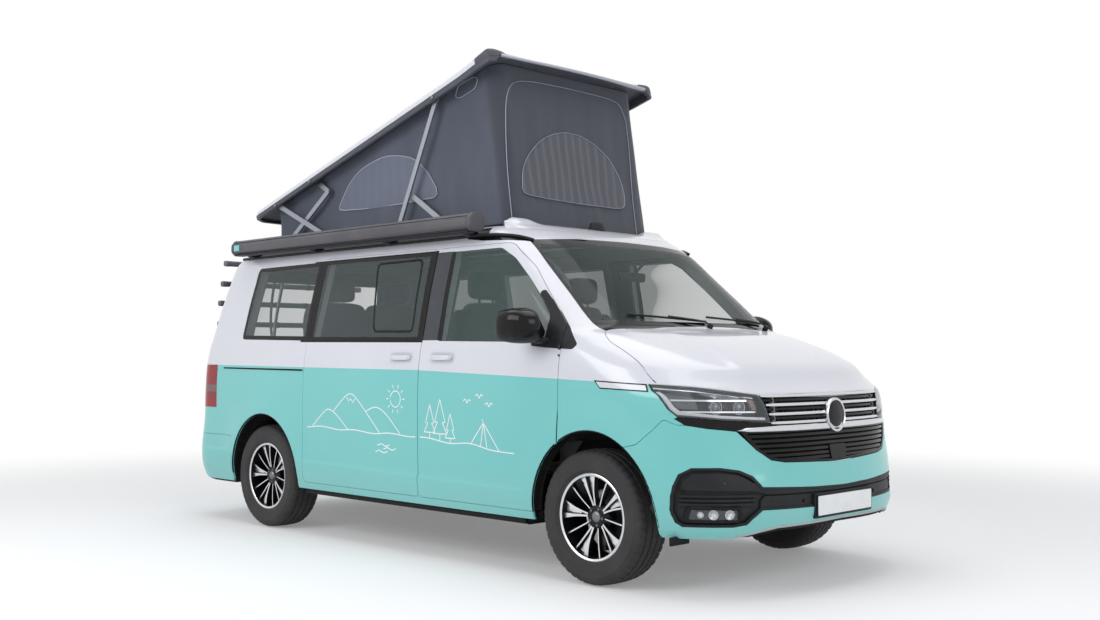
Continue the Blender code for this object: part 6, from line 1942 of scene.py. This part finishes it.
for who, x, node in (("driver", 0.43, "driver_seat"), ("passenger", -0.43, "passenger_seat")):
    base = merge(block((x - 0.205, 0.88, 0.531), (x + 0.205, 1.28, 0.802), 0.015),
                 paintAll(block((x - 0.235, 1.00, 0.800), (x + 0.235, 1.34, 0.840), 0.01), 0))
    posts = [tube([Vector((x + s * 0.055, 1.322, 1.44)), Vector((x + s * 0.055, 1.322, 1.52))], 0.007, 8)
             for s in (-1, 1)]
    finish("seat_base_" + who, merge(base, *posts), "root", [satinBlack], [node])
    pads = [("seat_cushion", cushion((x - 0.185, 0.805, 0.815), (x + 0.185, 1.340, 0.945), channels=2,
                                     along="y"), 0),
            ("seat_bolster_in", cushion((x - 0.248, 0.815, 0.805), (x - 0.165, 1.345, 0.948), 0.55), 1),
            ("seat_bolster_out", cushion((x + 0.165, 0.815, 0.805), (x + 0.248, 1.345, 0.948), 0.55), 1),
            ("seat_back", cushion((x - 0.175, 1.262, 0.920), (x + 0.175, 1.392, 1.495), channels=2,
                                  along="z"), 0),
            ("back_bolster_in", cushion((x - 0.248, 1.245, 0.915), (x - 0.160, 1.395, 1.440), 0.55), 1),
            ("back_bolster_out", cushion((x + 0.160, 1.245, 0.915), (x + 0.248, 1.395, 1.440), 0.55), 1),
            ("headrest", cushion((x - 0.128, 1.275, 1.505), (x + 0.128, 1.376, 1.676), 0.5), 0)]
    for kind, pad, index in pads:
        piece = finish(kind + "_" + who, pad, "root", [seatEdge if index else seatWeave])

benchBase = merge(block((-0.618, 2.37, 0.531), (0.358, 2.97, 0.832), 0.012),
                  *[tube([Vector((x, 2.96, 1.50)), Vector((x, 2.96, 1.56))], 0.007, 8)
                    for x in (-0.42, -0.32, 0.08, 0.18)])
finish("bench_base", benchBase, "root", [boardEdge], ["rear_bench"])
for number, (low, high, channels, along) in enumerate((
        ((-0.638, 2.322, 0.826), (-0.133, 2.900, 0.978), 2, "y"),
                                                       ((-0.127, 2.322, 0.826), (0.378, 2.900, 0.978), 2,
                                                        "y"),
        ((-0.638, 2.882, 0.945), (-0.133, 3.036, 1.545), 2, "z"),
                                                       ((-0.127, 2.882, 0.945), (0.378, 3.036, 1.545), 2,
                                                        "z"),
        ((-0.498, 2.902, 1.540), (-0.242, 3.016, 1.696), 0, "x"),
                                                       ((0.002, 2.902, 1.540), (0.258, 3.016, 1.696), 0,
                                                        "x"))):
    piece = finish("bench_pad_" + str(number), cushion(low, high, channels=channels, along=along), "root",
                   [seatWeave])

cabinet = [paintAll(block((0.455, 1.622, 0.531), (0.653, 3.398, 1.155), 0.004), 0),
           paintAll(block((0.502, 1.627, 0.602), (0.838, 2.498, 1.150), 0.004), 0),
           paintAll(block((0.450, 1.620, 1.155), (0.655, 3.400, 1.180), 0.006), 1),
           paintAll(block((0.500, 1.625, 1.150), (0.840, 2.500, 1.175), 0.006), 1)]
for y0, y1, z0, z1 in ((1.64, 2.06, 0.56, 1.13), (2.08, 2.50, 0.56, 0.84), (2.08, 2.50, 0.86, 1.13),
                       (2.52, 2.94, 0.56, 1.13), (2.96, 3.38, 0.56, 1.13)):
    cabinet.append(paintAll(block((0.446, y0, z0), (0.456, y1, z1), 0.004), 0))
    cabinet.append(paintAll(lathe([(0.0, 0.004), (0.011, 0.004), (0.013, 0.002), (0.013, -0.002)], 16,
                                  pointing(Vector((0.445, y0 + 0.05, z1 - 0.05)), (-1, 0, 0))), 2))
for y in (1.84, 2.22):
    cabinet.append(paintAll(lathe([(0.0, 0.003), (0.080, 0.003), (0.095, 0.005), (0.100, 0.004),
                                   (0.100, -0.002)], 36,
                                  Matrix.Translation((0.68, y, 1.1775))), 2))
finish("kitchen_cabinet", merge(*cabinet), "root", [boardPale, boardEdge, castIron],
       ["kitchen_unit"])

dashLine = rounded([(0.165, 1.262), (0.420, 1.266), (0.560, 1.232), (0.615, 1.180), (0.600, 1.080),
                    (0.545, 0.940),
                    (0.470, 0.865), (0.165, 0.865)], 0.035, 5)
dash = [paintAll(slab(dashLine, "side", -0.795, 0.795, 0.012, 3), 0)]
dash.append(paintAll(block((-0.12, 0.585, 1.085), (0.13, 0.632, 1.225), 0.010), 1))
hood = slab(rounded([(0.24, 1.205), (0.56, 1.205), (0.54, 1.268), (0.26, 1.268)], 0.025), "front", 0.40,
            0.612, 0.01)
dash.append(paintAll(hood, 0))
dash.append(paintAll(slab(rounded([(0.255, 1.165), (0.545, 1.165), (0.53, 1.250), (0.27, 1.250)], 0.02),
                          "front",
                          0.600, 0.616, 0.003), 1))
for x in (-0.70, -0.26, 0.18, 0.70):
    dash.append(paintAll(block((x - 0.065, 0.585, 1.14), (x + 0.065, 0.624, 1.20), 0.008), 2))
wheelMiddle = Vector((0.40, 0.655, 1.085))
wheelTurn = Matrix.Translation(wheelMiddle) @ Matrix.Rotation(math.radians(-62), 4, "X")
circle = [wheelTurn @ Vector((0.178 * math.cos(2 * math.pi * k / 64),
                              0.178 * math.sin(2 * math.pi * k / 64), 0))
          for k in range(64)]
dash.append(paintAll(tube(circle, 0.0145, 12, closed=True), 2))
for a in (0.15, math.pi - 0.15, -math.pi / 2):
    dash.append(paintAll(tube([wheelTurn @ Vector((r * math.cos(a), r * math.sin(a), -0.004))
                               for r in (0.04, 0.175)],
                              0.014, 10, flat=0.45), 2))
dash.append(paintAll(lathe([(0.0, 0.018), (0.045, 0.016), (0.062, 0.006), (0.062, -0.018), (0.030, -0.030),
                            (0.028, -0.130)], 32, wheelTurn), 2))
finish("dashboard_skin", merge(*dash), "root", [dashPlastic, screenGlass, satinBlack],
       ["dashboard"])
glassMirror = slab(rounded([(-0.11, 1.600), (0.11, 1.600), (0.115, 1.655), (-0.115, 1.655)], 0.02), "front",
                   0.500, 0.522, 0.005)
finish("cabin_mirror", merge(glassMirror, tube([Vector((0, 0.500, 1.640)), Vector((0, 0.425, 1.700))],
                                               0.009, 8)),
       "root", [satinBlack])
print("inside made")


# Bicycle carrier on the tailgate: a hoop of tube, and four rails on two arms
carrierGrey = Paint("carrier_grey", (98, 98, 104), 0.45, 0.3)
carrierGrey.feed("Base Color", carrierGrey.blend(carrierGrey.ease(carrierGrey.grain(5.0, 3.0), 0.3, 0.8),
                                                 (90, 90, 96), (108, 108, 114)))
carrierGrey.feed("Roughness", 0.40 + carrierGrey.grain(120.0, 3.0) * 0.12)
hoopSide = [(3.962, 0.80), (3.966, 1.16), (3.935, 1.40), (3.870, 1.62), (3.815, 1.775)]
hoopLine = (curved([(-0.260, y, z) for y, z in hoopSide], 6)
            + curved([(0.260, y, z) for y, z in reversed(hoopSide)], 6))
hoop = [tube(hoopLine, 0.0125, 14)]
for x in (-0.260, 0.260):
    for y, z in (hoopSide[0], hoopSide[-1]):
        hoop.append(block((x - 0.016, y - 0.055, z - 0.012), (x + 0.016, y + 0.006, z + 0.012), 0.004))
    hoop.append(lathe([(0.0, 0.016), (0.013, 0.016), (0.015, 0.013), (0.015, -0.016), (0.0, -0.016)], 20,
                      pointing(Vector((x, 3.995, 1.200)), (1, 0, 0))))
    hoop.append(block((x - 0.010, 3.960, 1.188), (x + 0.010, 3.998, 1.212), 0.003))
finish("carrier_hoop", merge(*hoop), "tailgate", [linkMetal], ["carrier_frame"])
places = [(4.032, 1.859), (4.074, 1.706), (4.109, 1.559), (4.118, 1.401)]
rails = []
for y, z in places:
    outline = rounded([(y - 0.0205, z - 0.0205), (y + 0.0205, z - 0.0205), (y + 0.0205, z + 0.0205),
                       (y - 0.0205, z + 0.0205)], 0.014, 5)
    rails.append(paintAll(slab(outline, "side", -0.600, 0.600, 0.0), 0))
    for side in (-1, 1):
        near, far = sorted((side * 0.598, side * 0.649))
        rails.append(paintAll(slab(offset(outline, 0.0012), "side", near, far, 0.013, 4), 0))
    for x in (-0.40, -0.13, 0.13, 0.40):
        rails.append(paintAll(slab(offset(outline, 0.0025), "side", x - 0.014, x + 0.014, 0.001), 1))
for side in (-1, 1):
    armLine = curved([(side * 0.205, 3.998, 1.200), (side * 0.205, 4.060, 1.290),
                      (side * 0.205, 4.085, 1.401),
                      (side * 0.205, 4.078, 1.559), (side * 0.205, 4.044, 1.706),
                      (side * 0.205, 4.004, 1.855)], 5)
    rails.append(paintAll(tube(armLine, 0.0105, 10), 0))
    rails.append(paintAll(tube([Vector((side * 0.205, 3.998, 1.200)), Vector((side * 0.238, 3.998, 1.200))],
                               0.010,
                               12), 0))
finish("carrier_rails", merge(*rails), "carrier_platform", [carrierGrey.material, satinBlack],
       ["carrier_platform"])
print("carrier made")


# Materials for the solids that still show: jambs, lining, floor, underside and running gear; where the solids
# show between the skins they are near-black, a painted shade in the seams
# the outer face of these solids, just under the skins, takes the near-black outer colour: painted shade, so
# that the seams between panels read dark
def bodyMaterial(name, inner, depth, outer=(24, 25, 28)):
    paint = Paint(name, (120, 150, 148), 0.45)
    x, y, z = paint.axes()
    half = ((z * -0.2234 + 1.197) + (z * -0.02 + 0.966)
            - abs((z * -0.2234 + 1.197) - (z * -0.02 + 0.966))) * 0.5
    reach = abs(x) - half
    skin = paint.ease(reach, -0.012, -0.007)
    jamb = paint.ease(reach, -depth - 0.006, -depth)
    high = paint.ease(z, 1.075, 1.085)
    coat = paint.blend(high, (103, 188, 185), (206, 207, 214))
    lining = paint.blend(paint.ease(paint.grain(260.0, 3.0), 0.3, 0.8), inner,
                         [min(255, c + 12) for c in inner])
    # what stands out through the skin, such as a hinge, has the paint's colour
    swing = (paint.ease(y, 0.1825 + axleY, 0.1830 + axleY)
             * paint.ease(y * -1.0, -0.1962 - axleY, -0.1957 - axleY))
    swing = swing * paint.ease(z * -1.0, -0.895, -0.890)
    outer = paint.blend(swing, outer, (112, 194, 191))
    proud = paint.ease(reach, 0.0040, 0.0055)
    tone = paint.blend(skin, paint.blend(jamb, lining, coat),
                       paint.blend(proud, outer,
                                   paint.blend(paint.ease(z, 1.194, 1.197), (208, 209, 216), outer)))
    wells = 0
    for centre in (0.0 + axleY, 3.0 + axleY):
        gap = ((y - centre) ** 2 + (z - 0.345) ** 2) ** 0.5
        wells = wells + paint.ease(gap * -1.0, -0.500, -0.490)
    wells = wells + paint.ease(z * -1.0, -0.47, -0.46)
    tone = paint.blend(wells.clip(), tone, (20, 20, 22))
    tone = paint.blend(paint.ease(z, 1.888, 1.892), tone, (206, 207, 214))
    paint.feed("Base Color", tone)
    paint.feed("Roughness", 0.75 - jamb * 0.35)
    paint.bump(paint.grain(420.0, 3.0), 0.12, 0.0006)
    return paint.material


def plainMetal(name, low, high, roughness, metallic=0.0, scale=30.0):
    paint = Paint(name, low, roughness, metallic)
    paint.feed("Base Color", paint.blend(paint.ease(paint.grain(scale, 4.0), 0.3, 0.75), low, high))
    paint.feed("Roughness", roughness + paint.grain(scale * 6, 3.0) * 0.15)
    paint.bump(paint.grain(scale * 12, 3.0), 0.2, 0.0008)
    return paint.material


shellMaterial = bodyMaterial("shell_inside", (150, 151, 153), 0.060)
doorMaterial = bodyMaterial("door_inside", (70, 72, 76), 0.050)
underBlack = plainMetal("underbody_black", (22, 22, 24), (36, 36, 38), 0.75)
ironDark = plainMetal("running_gear_iron", (58, 58, 60), (80, 78, 76), 0.50, 0.5)
steelPale = plainMetal("exhaust_steel", (120, 116, 110), (150, 147, 142), 0.38, 0.9)
engineGrey = plainMetal("engine_cover", (40, 41, 44), (60, 61, 64), 0.55)
cabinFloor = Paint("cabin_floor", (92, 88, 84), 0.65)
x, y, z = cabinFloor.axes()
planks = cabinFloor.ease((x * 52.0).sine(), 0.93, 1.0)
oak = cabinFloor.blend(cabinFloor.ease(cabinFloor.grain(14.0, 5.0, (6, 0.4, 1)), 0.25, 0.8), (104, 92, 80),
                        (132, 118, 102))
cabinFloor.feed("Base Color", cabinFloor.blend(cabinFloor.ease(z, 0.515, 0.520), (24, 24, 26),
                                                 cabinFloor.blend(planks * 0.6, oak, (60, 52, 46))))
cabinFloor.feed("Roughness", 0.62 + cabinFloor.grain(90.0, 3.0) * 0.1)
dressing = {"body_shell": shellMaterial, "sliding_door": doorMaterial, "front_door_left": doorMaterial,
            "front_door_right": doorMaterial, "floor_pan": cabinFloor.material, "tailgate": satinBlack,
            "bonnet": underBlack, "bumper_rear": underBlack, "engine": engineGrey, "fuel_tank": underBlack,
            "exhaust": steelPale, "front_subframe": underBlack, "rear_axle": ironDark,
            "knuckle_left": ironDark, "knuckle_right": ironDark}
for name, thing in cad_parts.items():
    if thing.hide_render:
        continue
    chosen = dressing.get(name, linkMetal)
    if not thing.material_slots:
        thing.data.materials.append(chosen)
    for holder in thing.material_slots:
        holder.link = "OBJECT"
        holder.material = chosen
print("solids dressed:", [name for name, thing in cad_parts.items() if not thing.hide_render])


# Floor, backdrop and light
studio = {"room": 0.45, "nearShare": 0.22, "nearEdge": 3.4, "farEdge": 8.5}


def seenBy(tree, kinds):
    # 1 for the kinds of rays named, otherwise 0
    rays = tree.nodes.new("ShaderNodeLightPath")
    found = rays.outputs[kinds[0]]
    for kind in kinds[1:]:
        either = tree.nodes.new("ShaderNodeMath")
        either.operation = "MAXIMUM"
        tree.links.new(found, either.inputs[0])
        tree.links.new(rays.outputs[kind], either.inputs[1])
        found = either.outputs[0]
    return found


floorMesh = bmesh.new()
bmesh.ops.create_grid(floorMesh, x_segments=1, y_segments=1, size=60)
floorData = bpy.data.meshes.new("floor")
floorMesh.to_mesh(floorData)
floorMesh.free()
floor = bpy.data.objects.new("floor", floorData)
bpy.context.scene.collection.objects.link(floor)
floorPaint = Paint("studio_floor", (250, 250, 251), 0.80)
floorPaint.feed("Roughness", 0.78 + floorPaint.grain(2.0, 3.0) * 0.06)
floorTree = floorPaint.tree
glow = floorTree.nodes.new("ShaderNodeEmission")
glow.inputs["Color"].default_value = (1, 1, 1, 1)
glow.inputs["Strength"].default_value = 1.0
x, y, z = floorPaint.axes()
# the floor turns to plain white away from the van, and keeps the shadow near it
distance = (x * x + y * y) ** 0.5
share = floorPaint.ease(distance, studio["nearEdge"], studio["farEdge"])
share = share * (1 - studio["nearShare"]) + studio["nearShare"]
share = share * Wire(floorPaint, seenBy(floorTree, ["Is Camera Ray", "Is Glossy Ray"]))
floorMix = floorTree.nodes.new("ShaderNodeMixShader")
floorTree.links.new(share.socket, floorMix.inputs["Fac"])
floorTree.links.new(floorPaint.surface.outputs["BSDF"], floorMix.inputs[1])
floorTree.links.new(glow.outputs["Emission"], floorMix.inputs[2])
for node in floorTree.nodes:
    if node.type == "OUTPUT_MATERIAL":
        floorTree.links.new(floorMix.outputs[0], node.inputs["Surface"])
floorData.materials.append(floorPaint.material)

# White where it is seen or mirrored, and a soft grey room as far as it lights the van
world = bpy.data.worlds.new("studio")
bpy.context.scene.world = world
world.use_nodes = True
tree = world.node_tree
room = tree.nodes["Background"]
room.inputs["Color"].default_value = (0.93, 0.96, 1.0, 1)
room.inputs["Strength"].default_value = studio["room"]
shown = tree.nodes.new("ShaderNodeBackground")
shown.inputs["Color"].default_value = (1, 1, 1, 1)
shown.inputs["Strength"].default_value = 1.0
worldMix = tree.nodes.new("ShaderNodeMixShader")
whiteFor = seenBy(tree, ["Is Camera Ray", "Is Transmission Ray", "Is Glossy Ray"])
tree.links.new(whiteFor, worldMix.inputs["Fac"])
tree.links.new(room.outputs[0], worldMix.inputs[1])
tree.links.new(shown.outputs[0], worldMix.inputs[2])
tree.links.new(worldMix.outputs[0], tree.nodes["World Output"].inputs["Surface"])


def areaLight(name, place, target, size, power):
    lamp = bpy.data.lights.new(name, "AREA")
    lamp.shape = "RECTANGLE"
    lamp.size, lamp.size_y = size
    lamp.energy = power
    thing = bpy.data.objects.new(name, lamp)
    bpy.context.scene.collection.objects.link(thing)
    thing.location = place
    thing.rotation_euler = (Vector(target) - Vector(place)).to_track_quat("-Z", "Y").to_euler()


areaLight("top_light", (0, 0, 6.5), (0, 0, 1), (5.0, 7.0), 194)
areaLight("side_light", (-6.5, 0.5, 4.0), (0, 0, 1.2), (5.0, 3.0), 182)
areaLight("front_light", (-1.0, -8.0, 3.6), (0, -1, 1.0), (5.0, 3.0), 133)
bpy.context.scene.view_settings.view_transform = "Standard"
print("lights made")
